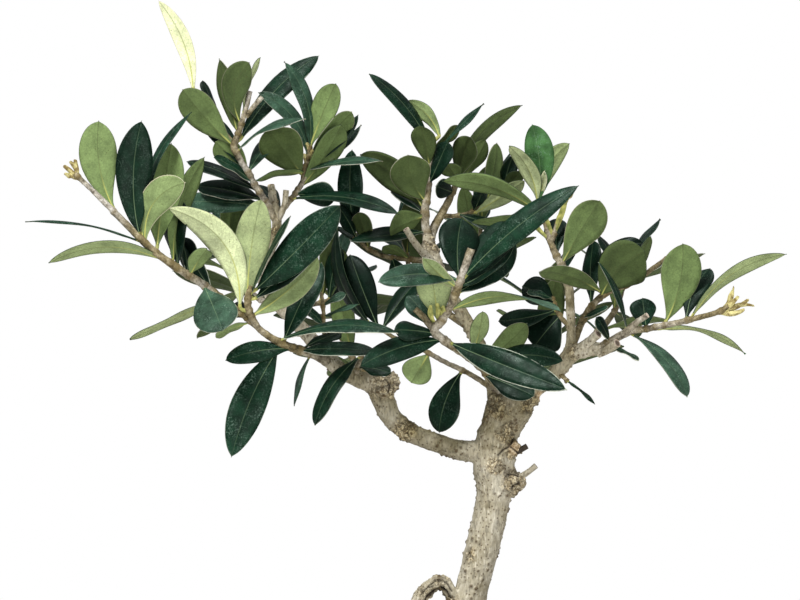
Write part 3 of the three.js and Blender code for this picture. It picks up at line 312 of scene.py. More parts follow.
_, SOIL_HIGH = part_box("soil")
SOIL_EDGE = 39 * MM
SOIL_RISE = SOIL_HIGH.z - SOIL_EDGE
SOIL_GAP = 1.5 * MM
SOIL_INSET = RIM_STEP + POT_WALL + SOIL_GAP
SOIL_STEP = 1.5 * MM  # its upright edge
SOIL_THICKNESS = 3 * MM
TRUNK_FOOT = Vector((20.2, -14, 0)) * MM
# The mound's rings: share of the way in from the wall to the trunk, and share of the rise.
MOUND = [(0.04, 0), (0.2, 0.15), (0.35, 0.35), (0.5, 0.57), (0.65, 0.75), (0.85, 1)]
soil = tray_outline("bonsai_soil", SOIL_EDGE - SOIL_STEP, SOIL_INSET)
bpy.ops.mesh.extrude_region_move(TRANSFORM_OT_translate={"value": (0, 0, SOIL_STEP)})
share_before, rise_before = 0, 0
for share, rise in MOUND:
    step_up = (rise - rise_before) * SOIL_RISE
    bpy.ops.mesh.extrude_region_move(TRANSFORM_OT_translate={"value": (0, 0, step_up)})
    shrink = (1 - share) / (1 - share_before)
    bpy.ops.transform.resize(value=(shrink, shrink, 1), center_override=TRUNK_FOOT)
    share_before, rise_before = share, rise
bpy.ops.object.mode_set(mode="OBJECT")
modify(soil, "SOLIDIFY", thickness=SOIL_THICKNESS)

GRAINS = 1500
GRAIN_SIZES = (0.9 * MM, 2.1 * MM)
GRAIN_RISE = 0.1  # of a grain's middle above the mound, as a share of its radius
LUMP_HEIGHT = 0.35  # share of a grain's radius
LUMP_SCALE = 1.6  # lumps to a radius
WIDTHS, HEIGHTS = (0.8, 1.2), (0.6, 0.9)  # of a grain, as shares of its size
random.seed(11)
bpy.ops.mesh.primitive_ico_sphere_add(subdivisions=2, radius=1)
pebble = bpy.context.object
heap_verts, heap_faces, heap_tones = [], [], []
half = Vector((POT_LENGTH / 2, POT_DEPTH / 2)) - Vector((1, 1)) * (SOIL_INSET + GRAIN_SIZES[1])
rounding = POT_CORNER - SOIL_INSET - GRAIN_SIZES[1]
placed = 0
while placed < GRAINS:
    x, y = random.uniform(-half.x, half.x), random.uniform(-half.y, half.y)
    over = Vector((max(abs(x) - half.x + rounding, 0), max(abs(y) - half.y + rounding, 0)))
    hit, surface, _, _ = soil.ray_cast(Vector((x, y, 0.1)), Vector((0, 0, -1)))
    if over.length > rounding or not hit:
        continue
    radius = GRAIN_SIZES[0] + (GRAIN_SIZES[1] - GRAIN_SIZES[0]) * random.random() ** 2
    turn = Matrix.Rotation(random.uniform(0, math.tau), 3, Vector((random.random(), random.random(), 1)))
    squash = Vector([random.uniform(*limits) for limits in (WIDTHS, WIDTHS, HEIGHTS)])
    seed = Vector((placed * 3.1, 0, 0))
    first = len(heap_verts)
    for vertex in pebble.data.vertices:
        lump = 1 + LUMP_HEIGHT * noise.noise(vertex.co * LUMP_SCALE + seed)
        local = turn @ Vector(c * s for c, s in zip(vertex.co * radius * lump, squash))
        heap_verts.append(Vector((x, y, surface.z + GRAIN_RISE * radius)) + local)
    heap_faces += [[first + i for i in face.vertices] for face in pebble.data.polygons]
    heap_tones += [random.random()] * len(pebble.data.vertices)
    placed += 1
bpy.data.objects.remove(pebble)


def mark(mesh, name, values):
    """Keeps a number for each point of a mesh, under a name by which its material reads it."""
    mesh.attributes.new(name, "FLOAT", "POINT").data.foreach_set("value", values)


heap = bpy.data.meshes.new("heap")
heap.from_pydata(heap_verts, [], heap_faces)
mark(heap, "tone", heap_tones)
grains = new_object("soil_grains", heap)
for face in heap.polygons:
    face.use_smooth = True

# Baked clay granules: tan, brown and grey, dusty and quite matt, with pits a fifth of a millimetre deep.
earth, tree, shader, at = finish("baked_clay_granules", Roughness=0.95)
each = add(tree, "Attribute", attribute_name="tone").outputs["Fac"]
colour = add(tree, "ValToRGB", {0: each}, [
    (0.0, "#3b2d21"), (0.35, "#5b4431"), (0.6, "#7a6248"), (0.85, "#8d8071"), (1.0, "#4a4540"),
])
pits = add(tree, "TexNoise", {"Scale": 3000.0, "Detail": 3.0, "Vector": at})
dust = add(tree, "ValToRGB", {0: pits}, [(0.3, 0.6), (0.65, 1.0)])
paint = add(tree, "Mix", {0: 1.0, 6: colour, 7: dust}, **DARKEN)
bump = add(tree, "Bump", {"Strength": 0.6, "Distance": 0.2 * MM, "Height": pits})
feed(shader, {"Base Color": paint, "Normal": bump})
for piece in (soil, grains):
    piece.data.materials.append(earth)
    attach(piece, "root")
    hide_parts("soil")


# ---------- trunk and limbs ----------
# One grown piece of olive wood: the leaning trunk, its limbs and risers, the arching root, and the burls
# and stubs where branches were cut back. Its thin grey-beige bark is dotted with small raised pores.

GRID = 0.4 * MM
MIDDLE_COLUMN = 406.5
SOIL_ROW = 650
MIDDLE_OUT = -35


def spot(right, down, out):
    """The place of a column, a row and a depth on the grid that the tree is laid out on."""
    return Vector((
        (right - MIDDLE_COLUMN) * GRID,
        -(out - MIDDLE_OUT) * GRID,
        SOIL_HIGH.z + (SOIL_ROW - down) * GRID,
    ))


def branch(rows, sides_step, along_steps=5):
    """A round branch, smooth along rows of [right, down, out, radius], all on the grid."""
    curve = bpy.data.curves.new("branch", "CURVE")
    curve.dimensions = "3D"
    curve.bevel_depth = GRID
    curve.bevel_resolution = sides_step
    curve.use_fill_caps = True
    curve.resolution_u = along_steps
    path = curve.splines.new("BEZIER")
    path.bezier_points.add(len(rows) - 1)
    for point, (right, down, out, radius) in zip(path.bezier_points, rows):
        point.co = spot(right, down, out)
        point.radius = radius
        point.handle_left_type = point.handle_right_type = "AUTO"
    return new_object("branch", curve)


def as_one(name, pieces):
    """Turns pieces into meshes and joins them."""
    bpy.ops.object.select_all(action="DESELECT")
    for piece in pieces:
        piece.select_set(True)
    bpy.context.view_layer.objects.active = pieces[0]
    bpy.ops.object.convert(target="MESH")
    bpy.ops.object.join()
    bpy.context.object.name = name
    return bpy.context.object


def close_caps(piece):
    """Merges the caps of branches with their sides, which leaves the caps' faces selected."""
    bpy.ops.object.mode_set(mode="EDIT")
    bpy.ops.mesh.select_mode(type="FACE")
    bpy.ops.mesh.select_all(action="SELECT")
    bpy.ops.mesh.remove_doubles(threshold=0.001 * MM)
    bpy.ops.mesh.select_all(action="DESELECT")
    bpy.ops.object.mode_set(mode="OBJECT")
    for face in piece.data.polygons:
        face.select = len(face.vertices) == 3


TRUNK = [
    [452, 694, 0, 17], [454, 668, 0, 26], [457, 650, 0, 23.5], [463, 628, 0, 19], [469.5, 600, 0, 17],
    [474, 580, 0, 16.3], [479.3, 560, 0, 16.8], [484.3, 540, 0, 16.8], [489, 520, 0, 17], [493, 500, 0, 17],
    [495, 485, 0, 18.5], [494, 470, 0, 21], [495, 455, 0, 20.5], [494, 440, 0, 18.5], [499.5, 430, 0, 19.5],
    [506, 415, 0, 22.5], [511.5, 400, 0, 24], [513, 391, 0, 20], [514, 386, 0, 12],
]

LIMBS = [
    # The root that arches clear of the soil.
    [
        [470, 622, 2, 8], [457, 606, 8, 7.5], [450, 592, 10, 7], [442, 582, 11, 7.5], [430, 587, 12, 7.5],
        [420, 598, 13, 7.5], [412, 615, 14, 8], [408, 640, 15, 9], [404, 672, 16, 9],
    ],
    # Surface roots that spread from the foot of the trunk into the soil.
    [[462, 630, 0, 15], [486, 650, 8, 11], [508, 664, 14, 7], [528, 682, 18, 5]],
    [[458, 634, -4, 15], [448, 652, -28, 11], [440, 668, -48, 7], [432, 684, -64, 5]],
    [[458, 634, 4, 15], [462, 653, 26, 10], [468, 668, 42, 7], [474, 684, 56, 5]],
    # Burls, with the wood of a branch that was cut back.
    [[498, 485, 0, 13], [508, 484, 3, 13.5], [516, 480, 4, 11], [522, 476, 4, 6]],
    [[498, 451, 6, 10], [509, 449, 9, 8.5], [517, 448, 11, 7], [521, 447, 12, 3.5]],
    [[524, 402, 6, 10], [533, 398, 9, 8], [538, 396, 10, 5.5]],
    # Left limb and the knob at its bend.
    [
        [494, 459, 0, 12], [475, 452, 2, 11], [458, 450, 4, 10], [440, 444, 6, 9.5], [420, 437, 8, 9.5],
        [403, 428, 9, 10], [391, 416, 10, 10.5], [384, 402, 10, 11.5], [380, 391, 10, 12.5],
        [372, 384, 12, 10], [357, 379, 20, 8], [340, 371, 29, 6.4], [328, 362, 36, 5.4],
    ],
    [[382, 394, 10, 11], [391, 382, 12, 9], [396, 375, 13, 5]],
    # Left riser, behind the limb's end.
    [
        [348, 376, 16, 7.5], [330, 360, 4, 8], [308, 335, -8, 7.4], [285, 312, -16, 6.5],
        [268, 292, -22, 6], [262, 272, -26, 5.5], [270, 250, -29, 5], [276, 235, -31, 5],
        [276, 215, -33, 5], [273, 200, -34, 4.4], [271, 184, -35, 3.8],
    ],
    # Middle riser.
    [
        [502, 398, -4, 15], [496, 382, -12, 11], [490, 368, -20, 8.5], [474, 335, -30, 6.6],
        [463, 315, -36, 6.5], [448, 290, -42, 6.5], [437, 265, -47, 6.6], [429, 244, -51, 7],
        [427, 234, -53, 4.5],
    ],
    # Right limb and its riser.
    [
        [505, 400, 0, 18], [518, 394, 2, 13], [532, 389, 5, 9.8], [545, 382, 8, 7.8], [560, 368, 10, 8],
        [573, 353, 12, 9], [590, 350, 14, 6.6], [602, 347.5, 15, 6],
    ],
    [
        [569, 358, 11, 7], [571, 340, 8, 5.2], [571, 325, 5, 4.7], [570, 305, 2, 4.6], [569, 288, 0, 4.6],
        [565, 272, -3, 4.5],
    ],
]

# Stubs of twigs that were cut straight across.
STUBS = [
    [[514, 481, 5, 3.8], [525, 474, 7, 3.1], [530, 470.5, 8, 2.8], [536, 465.5, 9, 3]],
    [[514, 453, 10, 3.2], [520, 450, 13, 3], [527, 446, 14, 2.9]],
    [[277, 220, -32, 4], [284, 206, -29, 3], [286, 190, -28, 3]],
    [[434, 264, -44, 4.4], [415, 243, -28, 3.4], [406, 229, -22, 3.2]],
    [[575, 353, 16, 5], [587, 343, 21, 4.5], [598, 334, 29, 4.4]],
    [[598, 353, 16, 5], [608, 349, 22, 4.6], [617, 343, 30, 4.4]],
]

# The branches are grown together into one skin, and where they meet it is smoothed.
VOXEL = 0.5 * MM
wood = as_one("olive_wood", [branch(rows, sides_step=6) for rows in [TRUNK] + LIMBS])
modify(wood, "REMESH", mode="VOXEL", voxel_size=VOXEL, use_smooth_shade=True)
modify(wood, "SMOOTH", factor=0.6, iterations=5)

# Burls and knobs with rough bark: [right, down, out, reach] on the grid.
BURLS = [
    [514, 481, 8, 22], [514, 449, 10, 16], [386, 384, 12, 24], [500, 408, 12, 20], [528, 404, 10, 16],
    [496, 466, 16, 14], [573, 352, 12, 12], [278, 232, -31, 10], [434, 246, -48, 12], [508, 432, 16, 16],
    [404, 430, 12, 18], [440, 582, 11, 13], [422, 592, 12, 12], [412, 612, 14, 14], [468, 553, 14, 10],
    [452, 600, 10, 10],
]
# Faces where a branch was cut off, on wood that has dried to tan: [right, down, out, reach].
CUTS = [
    [538, 396, 10, 6.5], [516, 449, 17, 9], [616, 341, 14, 6], [271, 184, -35, 4.4], [427, 234, -53, 4],
]
# Weathered stretches of wood, darkened partly by weathering and partly as painted shade of the crown over
# them: [right, down, out, reach] on the grid.
WEATHERED_AND_SHADED = [
    [512, 405, 0, 64], [440, 444, 6, 36], [410, 432, 8, 34], [380, 408, 10, 26], [350, 374, 24, 24],
    [560, 366, 8, 30], [470, 330, -30, 50], [276, 226, -31, 30], [573, 333, 4, 24], [568, 292, 0, 24],
]
# Cracks and wrinkles in the bark of the front, and painted shade under the arching root: a line of [right,
# down], and half its width.
CRACKS_AND_ARCH_SHADE = [
    ([[498, 455], [504, 449], [509, 446], [514, 439]], 1.0),
    ([[511, 447], [515, 451], [519, 454]], 0.8),
    ([[524, 470], [518, 476], [508, 474]], 1.0),
    ([[519, 482], [511, 489]], 1.2),
    ([[386, 380], [390, 386], [388, 393]], 1.0),
    # Along the underside of the arching root: painted shade under the arch, drawn as a dark groove.
    ([[423, 606], [428, 597], [434, 591], [441, 588], [446, 591], [450, 598]], 1.5),
    ([[428, 586], [435, 581], [442, 580], [448, 584], [452, 591]], 0.7),
    ([[420, 595], [426, 588], [433, 586]], 0.6),
]
CRACK_FACING = -0.2  # cracks lie only where the bark faces further to the front
CRACK_DEPTH = 0.9  # in mm
PORE_SPACING = 2.0 * MM
PORE_GAP = PORE_SPACING * 0.95  # the least
PORE_RADIUS = 0.55 * MM
PORE_HEIGHT = 0.65 * MM
PORE_SIZES = 1.6  # power of the chance that sizes a pore: most are small
PORE_WANDER = 0.45  # of a pore's outline, in mm
RIDGE_HEIGHT = 0.13 * MM
LUMP_LIFT = 0.2  # of lumps all over, in mm
BURL_LUMPS = 0.6  # more lift of the lumps on a burl, in mm
BURL_KNOBS = 0.7  # of the sharp knobs on a burl, in mm
KNOB_LEVEL = 1.2  # of the knobs' noise that neither lifts nor sinks
CUT_EDGE = 2.5  # how sharply a cut face ends
# How many waves to a metre the noise has that moves the pores' outlines and crowds the pores, and that
# roughens the burls' edges, the weathering and painted shade, the ridges across and along the trunk, the
# lumps and the knobs.
WANDER_SCALE, CROWD_SCALE = 900, 130
BURL_SCALE, GRIME_AND_SHADE_SCALE = 250, 200
RIDGES_ACROSS, RIDGES_ALONG = 420, 110
LUMPS_SCALE, KNOBS_SCALE = 330, 420

skin = wood.data
normals = [vertex.normal.copy() for vertex in skin.vertices]
random.seed(4)
taken = {}
pores = []
for index in random.sample(range(len(skin.vertices)), len(skin.vertices)):
    place = skin.vertices[index].co
    cell = tuple(math.floor(c / PORE_SPACING) for c in place)
    near = [
        other
        for dx in (-1, 0, 1) for dy in (-1, 0, 1) for dz in (-1, 0, 1)
        for other in taken.get((cell[0] + dx, cell[1] + dy, cell[2] + dz), [])
    ]
    if all((place - other).length > PORE_GAP for other in near):
        taken.setdefault(cell, []).append(place.copy())
        pores.append((place.copy(), random.random() ** PORE_SIZES))


def search_tree(places):
    """A tree that finds the nearest of many places."""
    tree = kdtree.KDTree(len(places))
    for index, place in enumerate(places):
        tree.insert(place, index)
    tree.balance()
    return tree


pore_tree = search_tree([place for place, _ in pores])
burl_places, cut_places, weathered_and_shaded_places = (
    [(spot(*row[:3]), row[3] * GRID) for row in rows] for rows in (BURLS, CUTS, WEATHERED_AND_SHADED)
)


def nearness(place, middles):
    """1 at the nearest of some middles, falling to 0 at its reach."""
    return max(max(0, 1 - (place - middle).length / reach) for middle, reach in middles)


def smooth_step(low, high, value):
    """From 0 at the low value or below to 1 at the high one or above, with no kinks."""
    share = min(max((value - low) / (high - low), 0), 1)
    return share * share * (3 - 2 * share)


def crack_depth(place, facing):
    """How deep a place is in a crack or in the painted shade under the root's arch, from 0 to 1."""
    if facing.y > CRACK_FACING:
        return 0
    here = Vector((place.x / GRID + MIDDLE_COLUMN, SOIL_ROW - (place.z - SOIL_HIGH.z) / GRID))
    deepest = 0
    for line, half_width in CRACKS_AND_ARCH_SHADE:
        for a, b in zip(line, line[1:]):
            start, run = Vector(a), Vector(b) - Vector(a)
            share = min(max((here - start).dot(run) / run.length_squared, 0), 1)
            gap = (here - start - run * share).length
            deepest = max(deepest, math.exp(-((gap / half_width) ** 2)))
    return deepest


skin_marks = []
for vertex, normal in zip(skin.vertices, normals):
    place = vertex.co.copy()
    _, index, distance = pore_tree.find(place + noise.noise_vector(place * WANDER_SCALE) * PORE_WANDER * MM)
    size = pores[index][1]
    crowd = smooth_step(-0.4, 0.4, noise.noise(place * CROWD_SCALE))
    spread = PORE_RADIUS * (0.35 + size)
    pore = min(math.exp(-((distance / spread) ** 2)) * min(0.1 + 1.4 * size, 1) * (0.3 + crowd), 1)
    burl = nearness(place, burl_places)
    burl = smooth_step(0, 0.5, burl + 0.25 * noise.noise(place * BURL_SCALE)) if burl else 0
    cut = min(1, CUT_EDGE * nearness(place, cut_places))
    crack = crack_depth(place, normal)
    # Darker where weathered, and painted shade of the crown, strongest on faces that look up.
    weathering_and_shade = smooth_step(0, 0.45, nearness(place, weathered_and_shaded_places)) * (0.75 + 0.25 * normal.z)
    grime_and_shade = weathering_and_shade * (0.8 + 0.4 * noise.noise(place * GRIME_AND_SHADE_SCALE))
    stretched = Vector((place.x * RIDGES_ACROSS, place.y * RIDGES_ACROSS, place.z * RIDGES_ALONG))
    ridges = noise.fractal(stretched, 1, 2, 3)
    lumps = noise.fractal(place * LUMPS_SCALE, 0.8, 2, 3)
    knobs = noise.ridged_multi_fractal(place * KNOBS_SCALE, 0.8, 2, 4, 1, 2)
    flaked = (1 - cut) * burl * (BURL_LUMPS * lumps + BURL_KNOBS * (knobs - KNOB_LEVEL))
    lift = (1 - cut) * (PORE_HEIGHT * pore * (0.4 + size) + RIDGE_HEIGHT * ridges)
    lift += (LUMP_LIFT * lumps + flaked - CRACK_DEPTH * crack) * MM
    vertex.co = place + normal * lift
    skin_marks.append((pore, burl, cut, crack, grime_and_shade))
for name, values in zip(("pore", "burl", "cut", "crack", "grime_and_shade"), zip(*skin_marks)):
    mark(skin, name, values)

# A Mix node that covers one paint with another, with the same inputs as one that darkens.
COVER = {"data_type": "RGBA"}
PLATE_SCALE = 330.0  # plates to a metre
PLATE_BEND = (0.006, 0.006, 0.006)  # of their seams, in metres

# Young olive bark: smooth and matt, grey-beige with fine streaks half a millimetre wide, pale flecks and
# brown pores of all sizes up to a millimetre. The burls have flaking brown bark in plates about three
# millimetres across, the limbs and the trunk's top are darkened to a duller olive, partly by weathering and
# partly as painted shade of the crown, and the cuts are dry tan wood.
bark, tree, shader, at = finish("olive_bark", Roughness=0.85, IOR=1.45, Specular_IOR_Level=0.3)
stretched = add(tree, "Mapping", {"Scale": (1.0, 1.0, 0.3), "Vector": at})
streaks = add(tree, "TexNoise", {"Scale": 1100.0, "Detail": 6.0, "Vector": stretched})
clouds = add(tree, "TexNoise", {"Scale": 110.0, "Detail": 6.0, "Roughness": 0.7, "Vector": at})
base = add(tree, "ValToRGB", {0: clouds}, [
    (0.32, "#897f65"), (0.43, "#aaa189"), (0.55, "#b7af99"), (0.7, "#cac4b2"),
])
lines = add(tree, "ValToRGB", {0: streaks}, [(0.34, 0.5), (0.46, 0.93), (0.6, 1.0)])
streaked = add(tree, "Mix", {0: 0.9, 6: base, 7: lines}, **DARKEN)
flecks = add(tree, "ValToRGB", {0: streaks}, [(0.58, 0.0), (0.7, 0.65)])
flecked = add(tree, "Mix", {0: flecks, 6: streaked, 7: linear("#e4decb")}, **COVER)
burl = add(tree, "Attribute", attribute_name="burl").outputs["Fac"]
bent = add(tree, "TexNoise", {"Scale": 260.0, "Detail": 3.0, "Vector": at})
bend = add(tree, "VectorMath", {0: bent.outputs["Color"], 1: PLATE_BEND, 2: at}, operation="MULTIPLY_ADD")
plates = add(tree, "TexVoronoi", {"Scale": PLATE_SCALE, "Vector": bend}, feature="DISTANCE_TO_EDGE")
plate_tones = add(tree, "TexVoronoi", {"Scale": PLATE_SCALE, "Vector": bend})
plate_tone = add(tree, "SeparateXYZ", {0: plate_tones.outputs["Color"]})
rough = add(tree, "TexNoise", {"Scale": 900.0, "Detail": 5.0, "Roughness": 0.7, "Vector": at})
brown = add(tree, "ValToRGB", {0: rough}, [
    (0.37, "#493a26"), (0.44, "#8f7d5a"), (0.5, "#b5a684"), (0.6, "#ddd2b5"),
])
plate = add(tree, "ValToRGB", {0: plate_tone}, [(0.0, 0.45), (0.5, 0.95), (1.0, 1.4)])
plated = add(tree, "Mix", {0: 1.0, 6: brown, 7: plate}, **DARKEN)
seam = add(tree, "ValToRGB", {0: plates}, [(0.0, 0.95), (0.1, 0.0)])
seamed = add(tree, "Mix", {0: seam, 6: plated, 7: linear("#2b2015")}, **COVER)
burl_share = add(tree, "Math", {0: burl, 1: 0.85}, operation="MULTIPLY", use_clamp=True)
burled = add(tree, "Mix", {0: burl_share, 6: flecked, 7: seamed}, **COVER)
# A dull olive multiplied in: weathering, and painted shade of the crown on the limbs and the trunk's top.
grime_and_shade = add(tree, "Attribute", attribute_name="grime_and_shade").outputs["Fac"]
grimed_and_shaded = add(tree, "Mix", {0: grime_and_shade, 6: burled, 7: linear("#99936f")}, **DARKEN)
pore = add(tree, "Attribute", attribute_name="pore").outputs["Fac"]
pore_share = add(tree, "ValToRGB", {0: pore}, [(0.2, 0.0), (0.8, 0.85)])
dots = add(tree, "TexVoronoi", {"Scale": 620.0, "Vector": at})
dot_share = add(tree, "ValToRGB", {0: dots}, [(0.12, 0.85), (0.28, 0.0)])
pore_or_dot = add(tree, "Math", {0: pore_share, 1: dot_share}, operation="MAXIMUM")
pored = add(tree, "Mix", {0: pore_or_dot, 6: grimed_and_shaded, 7: linear("#4d3d28")}, **COVER)
cut = add(tree, "Attribute", attribute_name="cut").outputs["Fac"]
cut_grain = add(tree, "ValToRGB", {0: rough}, [(0.4, "#7f6a4c"), (0.5, "#b59e7b"), (0.6, "#d9c8a8")])
wounded = add(tree, "Mix", {0: cut, 6: pored, 7: cut_grain}, **COVER)
# Cracks darkened, with the painted shade under the root's arch.
crack = add(tree, "Attribute", attribute_name="crack").outputs["Fac"]
paint = add(tree, "Mix", {0: crack, 6: wounded, 7: linear("#241a12")}, **COVER)
bump = add(tree, "Bump", {"Strength": 0.8, "Distance": 0.35 * MM, "Height": streaks})
flakes = add(tree, "Bump", {"Distance": 1.2 * MM, "Strength": burl_share, "Height": plates, "Normal": bump})
feed(shader, {"Base Color": paint, "Normal": flakes})

# The end of a cut stub: dry pale wood around a brown pith.
end_wood, tree, shader, at = finish("cut_olive_wood", Roughness=0.8, IOR=1.45)
fibres = add(tree, "TexNoise", {"Scale": 1500.0, "Detail": 3.0, "Vector": at})
dry = add(tree, "ValToRGB", {0: fibres}, [(0.35, "#b39a86"), (0.6, "#dccdbb")])
pith = add(tree, "Attribute", attribute_name="crack").outputs["Fac"]
paint = add(tree, "Mix", {0: pith, 6: dry, 7: linear("#3d2f20")}, **COVER)
feed(shader, {"Base Color": paint})

PITH_INSET = 0.8 * MM  # from the end's rim
PITH_SHADE = 0.9
STUB_ANGLE = 40  # degrees between faces that are shaded as one
# The stub that died and dried dark lies between these corners, [right, down] on the grid.
DEAD_STUB = ([514, 460], [530, 440])
stubs = as_one("stubs", [branch(rows, sides_step=4) for rows in STUBS])
for piece in (wood, stubs):
    for material in (bark, end_wood):
        piece.data.materials.append(material)
close_caps(stubs)
bpy.ops.object.mode_set(mode="EDIT")
bpy.ops.mesh.inset(thickness=PITH_INSET)
bpy.ops.object.mode_set(mode="OBJECT")
pith_points = {i for face in stubs.data.polygons if face.select for i in face.vertices}
for face in stubs.data.polygons:
    face.material_index = 1 if any(i in pith_points for i in face.vertices) else 0
bpy.ops.object.shade_smooth_by_angle(angle=math.radians(STUB_ANGLE))
dead_low, dead_high = (spot(*corner, 0) for corner in DEAD_STUB)
stub_darks = []
for vertex in stubs.data.vertices:
    x, z = vertex.co.x, vertex.co.z
    is_dead = dead_low.x < x < dead_high.x and dead_low.z < z < dead_high.z
    stub_darks.append(PITH_SHADE if is_dead or vertex.index in pith_points else 0)
mark(stubs.data, "crack", stub_darks)
wood = as_one("olive_wood", [wood, stubs])
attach(wood, "root")
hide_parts("trunk_and_limbs")


# ---------- leafy sprays ----------
# Each spray is a young twig with the leaves that grow from it: leathery, smooth-edged blades on short
# yellowish stalks, dark and glossy above, pale and matt below, with one pale midrib.

# Upper side of an olive leaf: a waxy cuticle over dark green, whose tone is partly the leaf's own colour
# and partly painted light and shade, cloudy over half a centimetre and mottled over half a millimetre, with
# a little pale dust whose specks also stand as painted glints, a faint midrib, and on some leaves a pale
# horny rim that is partly a painted edge highlight.
leaf_upper, tree, shader, at = finish(
    "olive_leaf_upper", IOR=1.45, Specular_IOR_Level=0.18, Specular_Tint=linear("#d2e6da")
)
tone = add(tree, "Attribute", attribute_name="tone").outputs["Fac"]
# The tone's green is partly the leaf's own colour and partly painted light and shade: paler for leaves
# facing the light, darker for shaded ones inside the crown.
green = add(tree, "ValToRGB", {0: tone}, [
    (0.0, "#020d07"), (0.2, "#061c10"), (0.4, "#102d1d"), (0.6, "#3a5342"), (0.8, "#3f6a2c"),
    (1.0, "#5d8535"),
])
clouds = add(tree, "TexNoise", {"Scale": 160.0, "Detail": 4.0, "Roughness": 0.6, "Vector": at})
cloudy = add(tree, "ValToRGB", {0: clouds}, [(0.34, 0.5), (0.5, 0.95), (0.66, 1.5)])
clouded = add(tree, "Mix", {0: 1.0, 6: green, 7: cloudy}, **DARKEN)
mottle = add(tree, "TexNoise", {"Scale": 1500.0, "Detail": 4.0, "Roughness": 0.75, "Vector": at})
# Pale specks of dust, which also stand as painted glints on the gloss; fewer on dark leaves.
dust = add(tree, "ValToRGB", {0: mottle}, [(0.5, 0.0), (0.66, 1.0)])
drifts = add(tree, "TexNoise", {"Scale": 200.0, "Detail": 4.0, "Roughness": 0.6, "Vector": at})
dust_and_glint_drifts = add(tree, "ValToRGB", {0: drifts}, [(0.42, 0.05), (0.54, 0.24), (0.66, 0.62)])
dust_and_glints_there = add(tree, "Math", {0: dust, 1: dust_and_glint_drifts}, operation="MULTIPLY")
fewer_on_dark = add(tree, "ValToRGB", {0: tone}, [(0.05, 0.15), (0.25, 0.4), (0.38, 1.0)])
dust_and_glint_share = add(tree, "Math", {0: dust_and_glints_there, 1: fewer_on_dark}, operation="MULTIPLY")
dusted_and_glinting = add(tree, "Mix", {0: dust_and_glint_share, 6: clouded, 7: linear("#7f9a88")}, **COVER)
blade_place = add(tree, "Attribute", attribute_name="blade").outputs["Vector"]
parts = add(tree, "SeparateXYZ", {0: blade_place})
off_rib = add(tree, "Math", {0: parts}, operation="ABSOLUTE")
share = add(tree, "Attribute", attribute_name="share").outputs["Fac"]
rib_fade = add(tree, "ValToRGB", {0: share}, [(0.0, 0.5), (0.4, 0.24), (0.95, 0.06)])
rib = add(tree, "MapRange", {
    "From Min": 0.05, "From Max": 0.26, "To Min": 1.0, "To Max": 0.0, "Value": off_rib,
}, interpolation_type="SMOOTHSTEP")
rib_share = add(tree, "Math", {0: rib, 1: rib_fade}, operation="MULTIPLY")
ribbed = add(tree, "Mix", {0: rib_share, 6: dusted_and_glinting, 7: linear("#8fa87c")}, **COVER)
# A pale rim in patches on some leaves: a horny edge, and partly a painted edge highlight.
rim = add(tree, "Attribute", attribute_name="rim").outputs["Fac"]
rim_line = add(tree, "MapRange", {
    "From Min": 0.06, "From Max": 0.3, "To Min": 1.0, "To Max": 0.0, "Value": parts.outputs["Z"],
}, interpolation_type="SMOOTHSTEP")
rim_patches = add(tree, "MapRange", {"From Min": 0.42, "From Max": 0.58, "Value": drifts})
rim_patch_line = add(tree, "Math", {0: rim_patches, 1: rim_line}, operation="MULTIPLY")
rim_share = add(tree, "Math", {0: rim, 1: rim_patch_line}, operation="MULTIPLY")
rimmed = add(tree, "Mix", {0: rim_share, 6: ribbed, 7: linear("#c9d2bd")}, **COVER)
polish = add(tree, "ValToRGB", {0: drifts}, [(0.38, 0.5), (0.5, 0.38), (0.66, 0.27)])
bump = add(tree, "Bump", {"Strength": 0.5, "Distance": 0.15 * MM, "Height": mottle})
feed(shader, {"Base Color": rimmed, "Roughness": polish, "Normal": bump})

# Underside of an olive leaf: a felt of tiny scales that makes the green pale and matt, its tone partly the
# leaf's own colour and partly painted light and shade, cloudy over half a centimetre, with faint side
# veins, brown dots, and a raised rib that is yellow near the stalk. The dark upper side, or a pale edge
# that is partly a painted edge highlight, shows round the rolled rim as a thin line.
leaf_under, tree, shader, at = finish("olive_leaf_under", Roughness=0.72, IOR=1.4, Specular_IOR_Level=0.3)
tone = add(tree, "Attribute", attribute_name="tone").outputs["Fac"]
# The tone's green is partly the leaf's own colour and partly painted light and shade: paler for lit leaves
# and for backlit ones, standing in for light through the blade, darker for shaded ones inside the crown.
green = add(tree, "ValToRGB", {0: tone}, [
    (0.0, "#1f2a15"), (0.2, "#3a4826"), (0.4, "#556538"), (0.55, "#718650"), (0.7, "#8f9e6b"),
    (0.85, "#b4bf8c"), (0.95, "#d0d8a8"), (1.0, "#e8edbc"),
])
clouds = add(tree, "TexNoise", {"Scale": 150.0, "Detail": 4.0, "Roughness": 0.6, "Vector": at})
cloudy = add(tree, "ValToRGB", {0: clouds}, [(0.32, 0.7), (0.5, 0.97), (0.68, 1.16)])
clouded = add(tree, "Mix", {0: 1.0, 6: green, 7: cloudy}, **DARKEN)
felt = add(tree, "TexNoise", {"Scale": 1500.0, "Detail": 4.0, "Roughness": 0.7, "Vector": at})
scales = add(tree, "ValToRGB", {0: felt}, [(0.34, 0.78), (0.66, 1.16)])
felted = add(tree, "Mix", {0: 1.0, 6: clouded, 7: scales}, **DARKEN)
blade_place = add(tree, "Attribute", attribute_name="blade").outputs["Vector"]
parts = add(tree, "SeparateXYZ", {0: blade_place})
off_rib = add(tree, "Math", {0: parts}, operation="ABSOLUTE")
slant = add(tree, "Math", {0: off_rib, 1: -1.3, 2: parts.outputs["Y"]}, operation="MULTIPLY_ADD")
drift = add(tree, "Math", {0: clouds, 1: 2.5, 2: slant}, operation="MULTIPLY_ADD")
